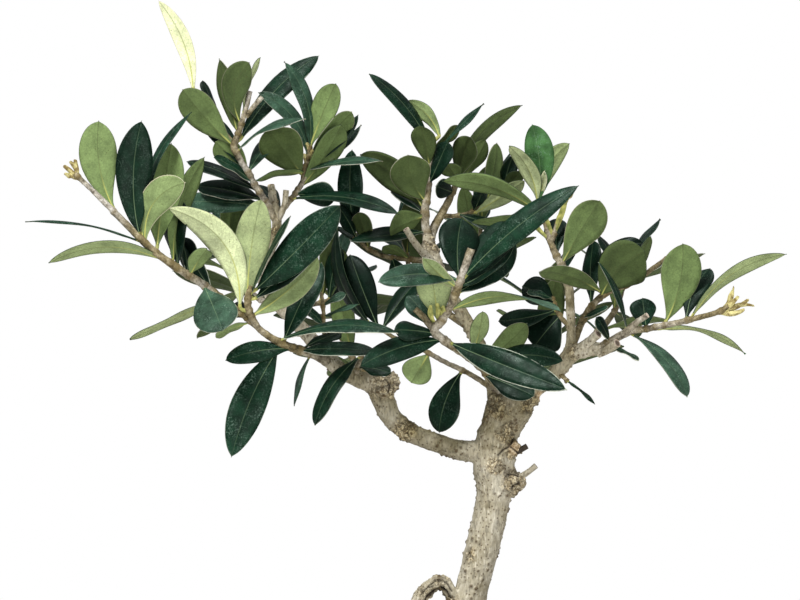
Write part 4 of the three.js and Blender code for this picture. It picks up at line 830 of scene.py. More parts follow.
paced = add(tree, "Math", {0: drift, 1: 2.6}, operation="MULTIPLY")
swing = add(tree, "Math", {0: paced}, operation="SINE")
vein = add(tree, "MapRange", {
    "From Min": 0.75, "From Max": 1.0, "To Min": 0.0, "To Max": 0.16, "Value": swing,
})
veined = add(tree, "Mix", {0: vein, 6: felted, 7: linear("#4f5c2c")}, **COVER)
cells = add(tree, "TexVoronoi", {"Scale": 420.0, "Vector": at})
dots = add(tree, "ValToRGB", {0: cells}, [(0.05, 0.75), (0.13, 0.0)])
dotted = add(tree, "Mix", {0: dots, 6: veined, 7: linear("#4a4a26")}, **COVER)
share = add(tree, "Attribute", attribute_name="share").outputs["Fac"]
# Darker leaves, partly painted shade, show the yellow rib over a shorter stretch.
rib_shortening = add(tree, "MapRange", {
    "From Min": 0.42, "From Max": 0.62, "To Min": 3.0, "To Max": 1.0, "Value": tone,
})
rib_place = add(tree, "Math", {0: share, 1: rib_shortening}, operation="MULTIPLY")
rib_colour = add(tree, "ValToRGB", {0: rib_place}, [
    (0.0, "#bdbd66"), (0.35, "#a4a75c"), (0.65, "#5f6639"), (1.0, "#454d2b"),
])
rib_fade = add(tree, "ValToRGB", {0: rib_place}, [(0.0, 1.0), (0.4, 0.7), (0.6, 0.5), (1.0, 0.4)])
rib = add(tree, "MapRange", {
    "From Min": 0.1, "From Max": 0.34, "To Min": 1.0, "To Max": 0.0, "Value": off_rib,
}, interpolation_type="SMOOTHSTEP")
rib_share = add(tree, "Math", {0: rib, 1: rib_fade}, operation="MULTIPLY")
ribbed = add(tree, "Mix", {0: rib_share, 6: dotted, 7: rib_colour}, **COVER)
# The rolled rim: the dark upper side, or a pale edge that is partly a painted edge highlight.
rim = add(tree, "Attribute", attribute_name="rim").outputs["Fac"]
rim_colour = add(tree, "ValToRGB", {0: rim}, [(0.0, "#222f1b"), (1.0, "#d9cdb2")])
rim_line = add(tree, "MapRange", {
    "From Min": 0.06, "From Max": 0.3, "To Min": 0.75, "To Max": 0.0, "Value": parts.outputs["Z"],
}, interpolation_type="SMOOTHSTEP")
rimmed = add(tree, "Mix", {0: rim_line, 6: ribbed, 7: rim_colour}, **COVER)
bump = add(tree, "Bump", {"Strength": 0.3, "Distance": 0.1 * MM, "Height": felt})
feed(shader, {"Base Color": rimmed, "Normal": bump})

# Rim of the blade: a thin horny edge, dark where it carries the upper side round, or pale in patches,
# partly as a painted edge highlight.
leaf_margin, tree, shader, at = finish("olive_leaf_rim", Roughness=0.5, IOR=1.42)
rim = add(tree, "Attribute", attribute_name="rim").outputs["Fac"]
drifts = add(tree, "TexNoise", {"Scale": 240.0, "Detail": 2.0, "Vector": at})
rim_patches = add(tree, "MapRange", {"From Min": 0.32, "From Max": 0.46, "Value": drifts})
pale = add(tree, "Math", {0: rim, 1: rim_patches}, operation="MULTIPLY")
colour = add(tree, "ValToRGB", {0: pale}, [(0.0, "#26361f"), (1.0, "#d5d3bd")])
feed(shader, {"Base Color": colour})

# Leaf stalks, smooth and yellow-green in patches, and the straw-coloured scales of buds.
leaf_stalk, tree, shader, at = finish("olive_leaf_stalk", Roughness=0.55, IOR=1.45)
blotch = add(tree, "TexNoise", {"Scale": 500.0, "Vector": at})
green = add(tree, "ValToRGB", {0: blotch}, [(0.35, "#757a3c"), (0.65, "#b9b765")])
straw = add(tree, "ValToRGB", {0: blotch}, [(0.38, "#7f6c3a"), (0.6, "#ccc283")])
tone = add(tree, "Attribute", attribute_name="tone").outputs["Fac"]
scale_share = add(tree, "MapRange", {"From Min": 1.05, "From Max": 1.15, "Value": tone})
paint = add(tree, "Mix", {0: scale_share, 6: green, 7: straw}, **COVER)
feed(shader, {"Base Color": paint})

# Bark of a young twig: grey-white in some stretches and olive-brown in others, cloudy over three
# millimetres and flecked to half a millimetre, with brown at the swollen nodes.
twig_bark, tree, shader, at = finish("olive_twig_bark", Roughness=0.8, IOR=1.45)
clouds = add(tree, "TexNoise", {"Scale": 330.0, "Detail": 5.0, "Roughness": 0.7, "Vector": at})
grey = add(tree, "ValToRGB", {0: clouds}, [
    (0.36, "#5f574a"), (0.46, "#9b9384"), (0.57, "#c0b9ab"), (0.67, "#dedad0"),
])
olive = add(tree, "ValToRGB", {0: clouds}, [
    (0.36, "#40381f"), (0.46, "#6f6342"), (0.57, "#8f8260"), (0.67, "#b5a988"),
])
stretches = add(tree, "TexNoise", {"Scale": 45.0, "Detail": 2.0, "Vector": at})
stretch = add(tree, "ValToRGB", {0: stretches}, [(0.48, 0.0), (0.66, 1.0)])
base = add(tree, "Mix", {0: stretch, 6: olive, 7: grey}, **COVER)
fleck = add(tree, "TexNoise", {"Scale": 1500.0, "Detail": 4.0, "Roughness": 0.7, "Vector": at})
specks = add(tree, "ValToRGB", {0: fleck}, [(0.34, 0.45), (0.46, 0.9), (0.6, 1.0), (0.7, 1.35)])
speckled = add(tree, "Mix", {0: 1.0, 6: base, 7: specks}, **DARKEN)
node = add(tree, "Attribute", attribute_name="swelling").outputs["Fac"]
node_share = add(tree, "Math", {0: node, 1: 0.75}, operation="MULTIPLY")
paint = add(tree, "Mix", {0: node_share, 6: speckled, 7: linear("#6a5a30")}, **COVER)
bump = add(tree, "Bump", {"Strength": 0.8, "Distance": 0.25 * MM, "Height": fleck})
feed(shader, {"Base Color": paint, "Normal": bump})

FINISHES = [leaf_upper, leaf_under, leaf_margin, leaf_stalk, twig_bark, end_wood]
UPPER, UNDER, MARGIN, STALK, TWIG, TWIG_END = range(len(FINISHES))
STALK_SHARE = 0.2  # of the blank's length
STALK_SLACK = 0.02  # of the blank's length, for faces that end where the stalk does
STALK_HALF = 0.5  # half the stalk's width, in mm
STALK_DEPTH = 0.42  # half the stalk's thickness, in mm
STALK_SIDE = 0.05  # keeps the two sides of the stalk apart at its edges
STALK_RUN = (0.5, 0.9)  # shares of the blade over which the stalk's width runs out
HEEL = 0.45  # by how much each side of a stalk is wider at the twig, in mm
HEEL_SHARE = 0.4  # of the stalk's length
BLADE_START = 0.05  # share of the leaf's curve where the blade opens out of its stalk
BLADE_OPEN = 0.12  # share of the blade's length where it has opened
LANCE, SPOON = 0.24, 0.44  # width as a share of the length, in a narrow and in a broad leaf
RISE_POWERS = (0.86, 0.26)  # of the outline from the stalk on: in a lance, and what a spoon adds
FALL_POWERS = (0.7, -0.12)  # of the outline towards the tip: in a lance, and what a spoon adds
LEAF_ARCH = 0.05  # the blade's rise, as a share of its length
POINT_START = 0.982  # share of the blade's length where its outline closes to a small point
POINT_HALF = 0.55  # half the point's width, in mm
COLUMN_POWER = 1.5  # crowds the blank's columns towards the midrib
BLADE_HALF = 0.22  # half the blade's thickness beside the midrib, in mm
EDGE_THINNING = 0.5  # share of it that is lost at the rim
GROOVE_DEPTH = 0.16  # of the upper side along the midrib, in mm
GROOVE_HALF = 0.45  # half the groove's width, in mm
RIB_HEIGHT = 0.4  # of the midrib under the blade, in mm
RIB_HALF = 0.5  # half the midrib's width, in mm
RIB_TAPER = 0.7  # share of its height that is lost at the tip
FOLDS = (4, 16)  # degrees that a blade's halves rise from its midrib
FOLD_TAPER = 0.4  # share of the fold that is lost at the tip
CURLS = (0.1, 0.26)  # how far the rims roll down, as a share of the half width
WAVES = (0.1, 0.5)  # of the rims, in mm
WAVE_POWER = 1.5  # keeps the waves to the rims
WAVE_TURN = 10  # of the waves along the blade, in radians
WAVE_LAG = 1.3  # of the waves from the midrib to either rim, in radians
TWIST = 18  # degrees at the tip
UNEVEN = 0.07  # share that one half may be wider
# How pale a leaf's rim may be: a horny edge, partly a painted edge highlight.
RIMS = (0, 0, 0, 0.25, 0.5)  # how pale
FULL_TONE = 1  # a tone above it makes the scale of a bud

# The blank that each leaf is formed from: a thin flat sheet, one unit to each side of its midrib.
bpy.ops.mesh.primitive_grid_add(x_subdivisions=10, y_subdivisions=34, size=2)
blank = bpy.context.object
blank.name = "leaf_blank"
modify(blank, "SOLIDIFY", thickness=1, offset=0)
for finish_of in FINISHES:
    blank.data.materials.append(finish_of)
for face in blank.data.polygons:
    face.use_smooth = True
    heights = [blank.data.vertices[i].co.z for i in face.vertices]
    shares = [(blank.data.vertices[i].co.y + 1) / 2 for i in face.vertices]
    if min(shares) < STALK_SHARE - STALK_SLACK:
        face.material_index = STALK
    elif min(heights) > 0:
        face.material_index = UPPER
    elif max(heights) < 0:
        face.material_index = UNDER
    else:
        face.material_index = MARGIN
blank_points = [(v.co.x, (v.co.y + 1) / 2, v.co.z) for v in blank.data.vertices]
blank_shares = sorted({round(y, 5) for _, y, _ in blank_points})


def leaf(root, base, tip, upper, width, side, tone, seed, rim=None, fold=None, twist=None):
    """One leaf, formed from a copy of the blank. Its stalk starts at root inside the twig, upper is the way
    that its upper side faces, side bends it sideways, tone is from 0, dark, to 1, pale, partly the leaf's
    own colour and partly painted light and shade, and more for the scale of a bud, a rim of 1 is pale,
    partly as a painted edge highlight, fold lifts the blade's halves from its midrib and twist turns its
    tip, in degrees."""
    dice = random.Random(seed)
    chord = tip - base
    length = chord.length
    face = (upper - chord.normalized() * upper.dot(chord.normalized())).normalized()
    middle = (base + tip) / 2 + 2 * (side + face * LEAF_ARCH * length)

    def on_curve(t):
        return base * (1 - t) ** 2 + middle * 2 * t * (1 - t) + tip * t * t

    def on_stalk(s):
        return root * (1 - s) ** 2 + base * 2 * s * (1 - s) + on_curve(BLADE_START) * s * s

    # A broad leaf is spoon-shaped, widest past its middle, and a narrow one is lance-shaped.
    broad = smooth_step(LANCE, SPOON, width / length)
    rise_power = RISE_POWERS[0] + RISE_POWERS[1] * broad
    fall_power = FALL_POWERS[0] + FALL_POWERS[1] * broad
    peak = rise_power / (rise_power + fall_power)
    scale = 1 / (peak**rise_power * (1 - peak) ** fall_power)
    fold = math.radians(dice.uniform(*FOLDS) if fold is None else fold)
    curl = dice.uniform(*CURLS)
    waves = dice.uniform(*WAVES)
    wave_phase = dice.random() * math.tau
    twist = math.radians(dice.uniform(-TWIST, TWIST) if twist is None else twist)
    uneven = dice.uniform(-UNEVEN, UNEVEN)
    rim = dice.choice(RIMS) if rim is None else rim

    stations = {}
    places = []
    for share in blank_shares:
        if share < STALK_SHARE:
            places.append((on_stalk(share / STALK_SHARE), -1 + share / STALK_SHARE))
        else:
            t = (1 - math.cos(math.pi * (share - STALK_SHARE) / (1 - STALK_SHARE))) / 2
            places.append((on_curve(BLADE_START + (1 - BLADE_START) * t), t))
    for i, (share, (centre, t)) in enumerate(zip(blank_shares, places)):
        along = (places[min(i + 1, len(places) - 1)][0] - places[max(i - 1, 0)][0]).normalized()
        normal = (face - along * face.dot(along)).normalized()
        normal = Matrix.Rotation(twist * max(t, 0) ** 2, 3, along) @ normal
        across = along.cross(normal)
        open_half = 0
        if t > 0:
            full = min(t / POINT_START, 1)
            open_half = scale * full**rise_power * (1 - full) ** fall_power * width / MM / 2
        heel = 0
        if share < STALK_SHARE and tone <= FULL_TONE:
            heel = HEEL * max(0, 1 - share / STALK_SHARE / HEEL_SHARE)
        point = POINT_HALF * min((1 - t) / (1 - POINT_START) / 2, 1)
        stalk = (STALK_HALF + heel) * (1 - smooth_step(*STALK_RUN, t))
        stations[share] = (centre, across, normal, math.hypot(stalk, math.hypot(open_half, point)), t)

    mesh = blank.data.copy()
    blade_values, shares, points = [], [], []
    for v, y, h in blank_points:
        centre, across, normal, half, t = stations[round(y, 5)]
        hand = math.copysign(1, v)
        v = abs(v) ** COLUMN_POWER
        off = v * half * (1 + hand * uneven)
        opened = smooth_step(0, BLADE_OPEN, t)
        edge_thin = BLADE_HALF * (1 - EDGE_THINNING * v)
        if h > 0:
            open_height = edge_thin - GROOVE_DEPTH * math.exp(-((off / GROOVE_HALF) ** 2))
        else:
            open_height = -edge_thin - RIB_HEIGHT * (1 - RIB_TAPER * t) * math.exp(-((off / RIB_HALF) ** 2))
        stalk_round = math.copysign(STALK_DEPTH * math.sqrt(max(1 - v * v, STALK_SIDE)), h)
        height = opened * open_height + (1 - opened) * stalk_round
        height -= opened * curl * v * v * half
        wave_place = wave_phase + WAVE_TURN * t + WAVE_LAG * hand
        height += opened * waves * v**WAVE_POWER * math.sin(wave_place)
        lean = opened * fold * (1 - FOLD_TAPER * t)
        outward = hand * (off * math.cos(lean) - height * math.sin(lean))
        upward = off * math.sin(lean) + height * math.cos(lean)
        points.append(centre + across * outward * MM + normal * upward * MM)
        blade_values += [hand * off, t * length / MM, (1 - v) * half]
        shares.append(t)
    mesh.vertices.foreach_set("co", [c for point in points for c in point])
    mesh.attributes.new("blade", "FLOAT_VECTOR", "POINT").data.foreach_set("vector", blade_values)
    mark(mesh, "share", shares)
    mark(mesh, "tone", [tone] * len(points))
    mark(mesh, "rim", [rim] * len(points))
    if tone > FULL_TONE:
        mesh.polygons.foreach_set("material_index", [STALK] * len(mesh.polygons))
    piece = new_object("leaf", mesh)
    piece["root"] = root
    return piece


def nearest_on(twigs, right, down):
    """The place on a spray's twigs that is nearest to a leaf's base, seen from the front."""
    best_gap, best_place = math.inf, None
    for rows in twigs:
        for (r0, d0, o0, _), (r1, d1, o1, _) in zip(rows, rows[1:]):
            dot = (right - r0) * (r1 - r0) + (down - d0) * (d1 - d0)
            t = min(max(dot / ((r1 - r0) ** 2 + (d1 - d0) ** 2), 0), 1)
            place = (r0 + t * (r1 - r0), d0 + t * (d1 - d0), o0 + t * (o1 - o0))
            gap = math.hypot(right - place[0], down - place[1])
            if gap < best_gap:
                best_gap, best_place = gap, place
    return best_place


FRONT = Vector((0, -1, 0))
UP = Vector((0, 0, 1))


def row_leaf(twigs, row, seed):
    """A leaf from a row of [base right, base down, tip right, tip down, tip out from base, width, roll,
    bow, tone] and sometimes rim, fold and twist. A roll of 0 turns the upper side to the front and 180
    turns it to the back."""
    right, down, tip_right, tip_down, tip_out, width, roll, bow, tone, *more = row
    place = nearest_on(twigs, right, down)
    root, base = spot(*place), spot(right, down, place[2])
    tip = spot(tip_right, tip_down, place[2] + tip_out)
    heading = (tip - base).normalized()
    facing = (FRONT - heading * FRONT.dot(heading)).normalized()
    across = heading.cross(facing)
    angle = math.radians(roll)
    upper = facing * math.cos(angle) + across * math.sin(angle)
    return leaf(root, base, tip, upper, width * GRID, across * bow * GRID, tone, seed, *more)


# Twigs are rows of [right, down, out, radius], and leaves are rows as row_leaf reads them; a leaf's tone is
# partly painted light and shade.
SPRAYS = {
    "limb_end_spray": ([
        [[327.5, 362, 36.4, 5], [314, 354, 43, 5], [300, 350, 48, 4.4], [285, 345, 52, 4.2],
         [272, 338, 56, 3.8], [263, 332, 59, 3.4]],
    ], [
        [293, 349, 226, 360, 24, 24, 30, 2, 0.35], [280, 347, 232, 457, 34, 35, 4, 5, 0.38, 0.3, 3],
        [310, 356, 294, 406, -12, 20, 70, 0, 0.5], [279, 341, 398, 333, 46, 24, -62, -6, 0.36, 0.8],
        [299, 351, 378, 352, 24, 24, -48, 0, 0.38, 0.7], [302, 349, 342, 333, -10, 20, -60, 0, 0.2],
        [284, 342, 322, 262, -28, 28, -20, 0, 0.3],
    ]),
    "far_left_spray": ([
        [[264, 332.6, 58.8, 3.4], [250, 320, 61, 3.3], [240, 312, 63, 3.4], [220, 297, 68, 3.8],
         [203, 284, 73, 4.1], [178, 268, 80, 3.8], [150, 247, 87, 3.6], [122, 219, 93, 3.4],
         [95, 192, 98, 2.6], [80, 178, 100, 2.6], [76, 174, 101, 3.2]],
    ], [
        [116, 211, 100, 121, -12, 38, 168, -8, 0.57], [141, 238, 143, 121, 4, 37, 14, -9, 0.22],
        [147, 246, 187, 183, 26, 32, 166, -17, 0.62, 1, 8, 0],
        [158, 250, 172, 143, -34, 40, 172, -2, 0.5, 0, 3, 0], [143, 240, 192, 112, -44, 20, -60, -10, 0.4],
        [143, 243, 27, 222, 14, 12, 84, 2, 0.35, 0, 2, 0], [170, 263, 50, 263, 24, 26, 114, 11, 0.7],
        [174, 265, 205, 157, -40, 26, -138, -6, 0.47], [179, 268, 172, 198, -42, 34, -40, 3, 0.12],
        [188, 275, 180, 238, -52, 22, 50, 0, 0.1], [214, 292, 182, 238, -40, 26, -35, 0, 0.15],
        [190, 276, 208, 249, 20, 24, -140, 0, 0.6], [205, 287, 224, 331, 62, 44, -8, 0, 0.55, 0.7],
        [220, 298, 130, 339, -26, 22, 112, -4, 0.75], [242, 314, 197, 338, -30, 20, 106, 0, 0.4],
        [247, 318, 226, 308, -40, 26, 25, 0, 0.05], [251, 322, 216, 337, -6, 18, 112, 0, 0.6],
        [79, 178, 65, 166, 3, 3.2, 170, 0, 1.2], [79, 177, 71, 162, 5, 3.2, 170, 2, 1.2],
        [79, 176, 76.5, 160, 2, 3.2, 175, 0, 1.2], [78, 179, 66, 174, 5, 3.6, 165, 0, 1.2],
    ]),
    "left_upright_spray": ([
        [[257, 326, 61, 3.5], [251, 314, 68, 3.5], [248, 300, 72, 3.5], [252, 286, 73, 2.6]],
    ], [
        [240, 312, 168, 208, 8, 31, 168, 25, 0.92, 0.2, 12],
        [248, 303, 262, 199, 2, 36, 172, -4, 0.77, 0.3, 14], [251, 296, 291, 216, 24, 22, -78, 2, 0.3],
        [254, 292, 341, 205, 44, 38, -15, 3, 0.36, 0.3], [254, 300, 320, 238, 0, 28, -30, 4, 0.12],
        [252, 316, 319, 257, 16, 28, 165, 4, 0.65],
    ]),
    "thin_shoot": ([
        [[329, 361, 34, 2.6], [325, 350, 26, 2], [324, 325, 19, 2], [323, 305, 16, 2], [321, 292, 15, 1.5]],
    ], [
        [323, 306, 346, 294, 4, 14, -62, 0, 0.5], [324, 317, 360, 304, 4, 14, -70, 0, 0.5],
        [324, 326, 306, 308, 4, 13, 50, 0, 0.4],
    ]),
    "low_left_spray": ([
        [[355, 378, 21, 3.2], [358, 367, 30, 2.6], [362, 354, 36, 2]],
    ], [
        [361, 356, 315, 425, 26, 26, 45, 4, 0.25], [357, 367, 391, 373, 10, 20, -55, 0, 0.3],
    ]),
    "left_riser_spray": ([
        [[286, 314, -15, 3.2], [300, 306, -26, 2.6], [316, 304, -32, 2.4], [330, 300, -36, 2]],
    ], [
        [320, 303, 334, 214, -8, 28, -130, 4, 0.3], [329, 300, 340, 246, 10, 24, -40, 0, 0.2],
        [304, 305, 296, 262, -16, 24, 30, 0, 0.2], [330, 300, 362, 282, -20, 22, -45, 0, 0.25],
    ]),
    "upper_left_spray": ([
        [[277, 224, -31, 3.8], [266, 202, -28, 3.3], [256, 187, -25, 3.2], [247, 171, -22, 3.2],
         [238, 156, -20, 3.4], [234, 146, -19, 4], [238, 134, -18, 3], [242, 122, -17, 2.8],
         [244, 114, -16.5, 2.8]],
        [[244, 117, -16.5, 2.4], [250, 91, -15, 2.4]],
        [[235, 147, -20, 3], [222, 130, -28, 2.4], [207, 112, -32, 2], [195, 95, -34, 1.7]],
        [[246, 117, -17, 2.2], [254, 106, -14, 2.6], [262, 97, -12, 2.2]],
    ], [
        [234, 146, 182, 89, 14, 33, 168, -3, 0.45], [247, 172, 195, 104, -34, 26, 38, 0, 0.25],
        [193, 92, 158, 0, 2, 17, 172, 8, 1.0, 0.8, 3], [216, 123, 202, 80, -18, 18, 60, 0, 0.15],
        [241, 124, 250, 62, 10, 29, 164, -12, 0.26], [238, 134, 219, 58, -24, 26, 140, -2, 0.3],
        [243, 114, 260, 57, -6, 12, -105, 0, 0.8], [239, 142, 319, 54, -84, 26, -36, -4, 0.3],
        [237, 152, 306, 119, 22, 18, -76, -6, 0.5], [259, 192, 186, 161, -20, 24, 62, 0, 0.15],
        [265, 201, 196, 186, -36, 26, 44, 0, 0.15], [250, 176, 215, 141, 0, 28, 165, 0, 0.45],
        [254, 184, 214, 157, 18, 22, 60, 0, 0.35, 0.5], [268, 207, 165, 203, -58, 26, 35, 0, 0.5],
        [248, 173, 280, 130, -38, 22, -45, 0, 0.5],
    ]),
    "upper_middle_spray": ([
        [[276, 222, -31, 3.8], [279, 215, -36, 3.4], [286, 205, -40, 3], [296, 192, -42, 2.8],
         [303, 180, -42, 2.8], [306, 168, -41, 3], [308, 155, -40, 2.6], [310, 145, -39, 2.2]],
    ], [
        [309, 149, 284, 61, 4, 24, 50, 7, 0.5], [308, 158, 258, 92, 12, 24, 54, 9, 0.52],
        [310, 147, 336, 83, 16, 27, 160, -2, 0.56], [304, 177, 267, 129, 24, 43, 172, 0, 0.38],
        [306, 172, 256, 180, 34, 20, 112, 0, 0.5], [306, 170, 383, 161, 26, 20, -66, 0, 0.45, 0.5],
        [298, 189, 341, 124, 14, 32, -140, 6, 0.5], [295, 193, 336, 196, 6, 28, 30, 0, 0.3],
        [308, 157, 352, 111, 2, 28, -135, 2, 0.5], [307, 170, 303, 153, 5, 3.4, 160, 1, 1.2],
        [308, 166, 313, 149, 5, 3.4, 160, -1, 1.2], [308, 158, 307, 142, 5, 3.2, 160, 0, 1.2],
        [306, 166, 358, 114, -16, 24, -52, 6, 0.2], [304, 174, 361, 124, -34, 22, -60, 6, 0.3],
        [291, 199, 399, 214, 36, 24, -60, -4, 0.25], [281, 212, 258, 184, -36, 22, 40, 0, 0.2],
    ]),
    "middle_left_spray": ([
        [[429, 246, -50, 4.6], [427, 235, -54, 4.5], [425, 212, -57, 4.2], [428, 192, -59, 3.4],
         [430, 172, -61, 2.6], [432, 150, -62, 2.8], [433, 140, -62, 2.2]],
    ], [
        [432, 149, 369, 73, 8, 24, 54, 3, 0.25], [440, 137, 407, 100, -12, 16, 155, 5, 0.62],
        [430, 167, 421, 125, 22, 25, 165, 0, 0.36], [427, 202, 408, 154, 20, 41, 170, -6, 0.35],
        [426, 212, 360, 154, -10, 34, 155, 6, 0.28], [426, 216, 392, 190, -26, 22, 60, 0, 0.15],
        [427, 232, 351, 241, 31, 26, 52, -2, 0.2], [426, 215, 389, 232, 26, 31, 154, 0, 0.45],
        [432, 158, 484, 103, 14, 18, -78, 2, 0.4], [432, 153, 461, 126, -12, 20, -118, 0, 0.4],
        [429, 184, 448, 141, 14, 24, -45, 2, 0.2],
    ]),
    "side_twig_spray": ([
        [[434, 262, -47, 3.6], [408, 259, -50, 2.8], [388, 257, -50, 2.6], [370, 250, -49, 2.3],
         [354, 236, -48, 2]],
    ], [
        [355, 237, 352, 149, 6, 26, -20, -2, 0.25], [356, 238, 338, 206, 20, 20, 35, 0, 0.1],
        [369, 250, 358, 212, 18, 20, 150, 0, 0.25], [376, 252, 336, 226, -20, 18, 68, 0, 0.3],
        [410, 259, 383, 246, 18, 18, 125, 0, 0.4], [392, 257, 402, 284, 10, 20, 20, 0, 0.3],
    ]),
    "middle_right_spray": ([
        [[430, 244, -53, 4], [434, 228, -64, 4.6], [441, 215, -70, 4], [448, 202, -75, 3.7],
         [454, 189, -78, 3.3], [460, 178, -80, 2.6]],
        [[440, 216, -69, 2.6], [465, 214, -78, 2.1], [485, 204, -82, 1.9], [504, 191, -84, 1.7]],
    ], [
        [460, 179, 472, 137, 12, 28, 155, -4, 0.32], [460, 180, 486, 139, -10, 22, -135, 4, 0.38],
        [453, 192, 436, 186, 30, 20, 0, 0, 0.15], [474, 210, 483, 188, 16, 18, 40, 0, 0.15],
        [504, 192, 514, 154, -8, 22, -48, 0, 0.05], [503, 192, 522, 170, 14, 18, -140, 0, 0.4],
        [474, 213, 525, 180, 20, 19, -155, 2, 0.78], [459, 181, 447, 164, 24, 22, 150, 0, 0.45],
        [459, 180, 523, 104, -24, 26, -128, -10, 0.45], [486, 203, 497, 142, -22, 24, -142, 4, 0.47],
        [458, 214, 502, 232, 10, 20, -50, 0, 0.2],
    ]),
    "middle_front_spray": ([
        [[508, 398, 4, 5], [498, 388, 18, 4.6], [487, 373, 34, 4.2], [470, 358, 50, 4], [455, 348, 60, 4],
         [440, 337, 67, 4.5], [434, 331, 70, 4.8], [442, 320, 75, 4], [450, 307, 79, 3.8],
         [456, 292, 82, 4], [463, 272, 84, 4], [471, 249, 84, 4]],
        [[435, 332, 70, 4], [425, 319, 68, 3.4], [415, 309, 67, 3]],
    ], [
        [460, 281, 378, 282, 14, 28, 34, 5, 0.46], [458, 288, 423, 257, 26, 16, 150, -3, 0.68, 0.8, 6, 0],
        [439, 324, 430, 268, 18, 35, 172, 0, 0.74], [436, 330, 408, 295, -20, 22, 20, 0, 0.45],
        [434, 322, 431, 305, 8, 4, 170, -2, 1.02], [439, 321, 437, 303, 8, 4, 170, 0, 1.02],
        [443, 320, 442, 306, 8, 4, 170, 1, 1.02], [459, 280, 462, 218, -34, 41, 10, -4, 0.15],
        [460, 285, 505, 221, -44, 34, -15, 4, 0.3], [456, 294, 513, 237, -66, 30, -20, 8, 0.2],
        [462, 280, 578, 186, 30, 29, -28, -3, 0.34], [459, 287, 515, 243, 10, 20, -58, 8, 0.2],
        [448, 311, 560, 311, 34, 28, -128, -11, 0.6, 0, 6, 75], [469, 357, 482, 311, 20, 20, -140, 4, 0.65],
        [478, 365, 527, 323, -8, 28, -150, 4, 0.45], [480, 366, 563, 361, 16, 26, -35, -6, 0.25],
        [448, 342, 566, 389, 72, 31, -10, 2, 0.24, 1], [484, 375, 534, 396, 28, 28, -20, 0, 0.2],
        [444, 340, 360, 366, 34, 26, 24, 4, 0.25], [436, 334, 394, 330, 16, 22, 40, 0, 0.2],
    ]),
    "low_middle_spray": ([
        [[500, 392, 6, 3.4], [490, 387, 12, 2.8], [475, 377, 16, 2.6], [460, 369, 18, 2.6],
         [443, 361, 18, 2.4], [427, 352, 16, 2.3], [410, 344, 13, 2.2], [395, 338, 10, 2.1],
         [382, 330, 7, 2], [371, 325, 4, 2]],
    ], [
        [429, 353, 411, 383, -8, 30, 172, 0, 0.6], [462, 371, 439, 433, 2, 33, 18, 4, 0.2],
        [379, 329, 350, 254, -16, 30, -15, 0, 0.05], [382, 330, 418, 281, -16, 26, -45, 0, 0.2],
        [372, 325, 337, 227, -14, 26, -56, -10, 0.1],
    ]),
    "right_riser_spray": ([
        [[565.4, 273.5, -3, 4], [562, 266, -4.6, 4], [556, 255, -6, 3.6], [550, 240, -8, 3.1],
         [546, 225, -10, 2.6], [541, 212, -12, 2.2], [538, 200, -13, 1.8]],
        [[552, 242, -8, 2.4], [559, 218, -9, 2.3], [566, 199, -10, 2.2]],
    ], [
        [561, 265, 600, 200, 14, 37, -170, 0, 0.45], [557, 256, 557, 218, -24, 24, -20, 0, 0.15],
        [541, 213, 442, 181, 10, 27, 128, 6, 0.56], [543, 216, 472, 222, -22, 18, 118, -4, 0.55],
        [538, 203, 509, 146, 32, 22, 142, 5, 0.86], [539, 202, 532, 124, 14, 29, -12, 5, 0.72],
        [540, 204, 570, 143, -18, 22, -150, -8, 0.68], [540, 198, 545, 171, 18, 6, 160, 0, 0.93, 1],
        [549, 239, 530, 214, 6, 3.4, 150, -3, 1.02], [552, 236, 545, 216, 6, 3.4, 150, 0, 1.02],
        [554, 234, 567, 196, 12, 4.6, 165, 0, 1.02], [566, 200, 561, 192, 2, 3, 160, 0, 1.2],
        [566, 200, 573, 192, 2, 3, 160, 0, 1.2], [566, 200, 568, 191, -2, 3, 160, 0, 1.2],
    ]),
    "right_knee_spray": ([
        [[571, 326, 6, 3.4], [563, 320, 2, 2.6], [556, 308, -2, 2.4], [552, 297, -4, 2]],
    ], [
        [562, 314, 534, 347, 0, 44, 25, 0, 0.05], [557, 310, 498, 321, 8, 24, 42, -4, 0.15],
        [556, 303, 522, 286, 4, 34, 30, 0, 0.06], [553, 299, 527, 292, 18, 12, 60, 0, 0.3],
    ]),
    "right_low_leaf": ([
        [[552, 372, 9, 3], [562, 376, 15, 2.4], [567, 381, 17, 2]],
    ], [
        [567, 381, 595, 404, 6, 9, -74, 0, 0.4],
    ]),
    "right_back_spray": ([
        [[572, 347, 8, 4], [582, 322, -8, 3.6], [592, 306, -16, 3.5], [605, 294, -22, 3.2],
         [632, 283, -30, 2.8], [662, 262, -38, 2.3], [672, 255, -40, 2]],
    ], [
        [592, 306, 594, 240, -20, 26, -44, 0, 0.2], [626, 286, 597, 233, -14, 22, 66, 0, 0.15],
        [600, 299, 645, 251, 24, 50, -165, -6, 0.3, 0, 6], [596, 269, 643, 243, 12, 19, -30, -6, 0.02],
        [634, 282, 651, 236, -6, 22, -115, 0, 0.4], [582, 319, 608, 307, 14, 12, -66, 0, 0.4, 0.5],
        [603, 293, 538, 272, 92, 23, 145, 3, 0.42, 0.5], [667, 259, 690, 288, -18, 22, 30, 0, 0.2],
    ]),
    "right_end_spray": ([
        [[600, 348, 15, 5], [607, 344, 17, 4.6], [618, 337, 21, 4.1], [630, 331, 24, 4.2],
         [645, 329, 28, 3.3], [660, 326, 32, 3.1], [680, 322, 36, 3], [700, 317, 40, 2.8],
         [720, 311, 44, 2.8], [728, 306, 45, 2.4]],
        [[622, 335, 24, 3.4], [634, 324, 32, 3], [647, 315, 38, 2.7]],
    ], [
        [664, 324, 682, 243, 10, 40, -170, 7, 0.5], [686, 320, 710, 268, -26, 28, -30, -4, 0.15],
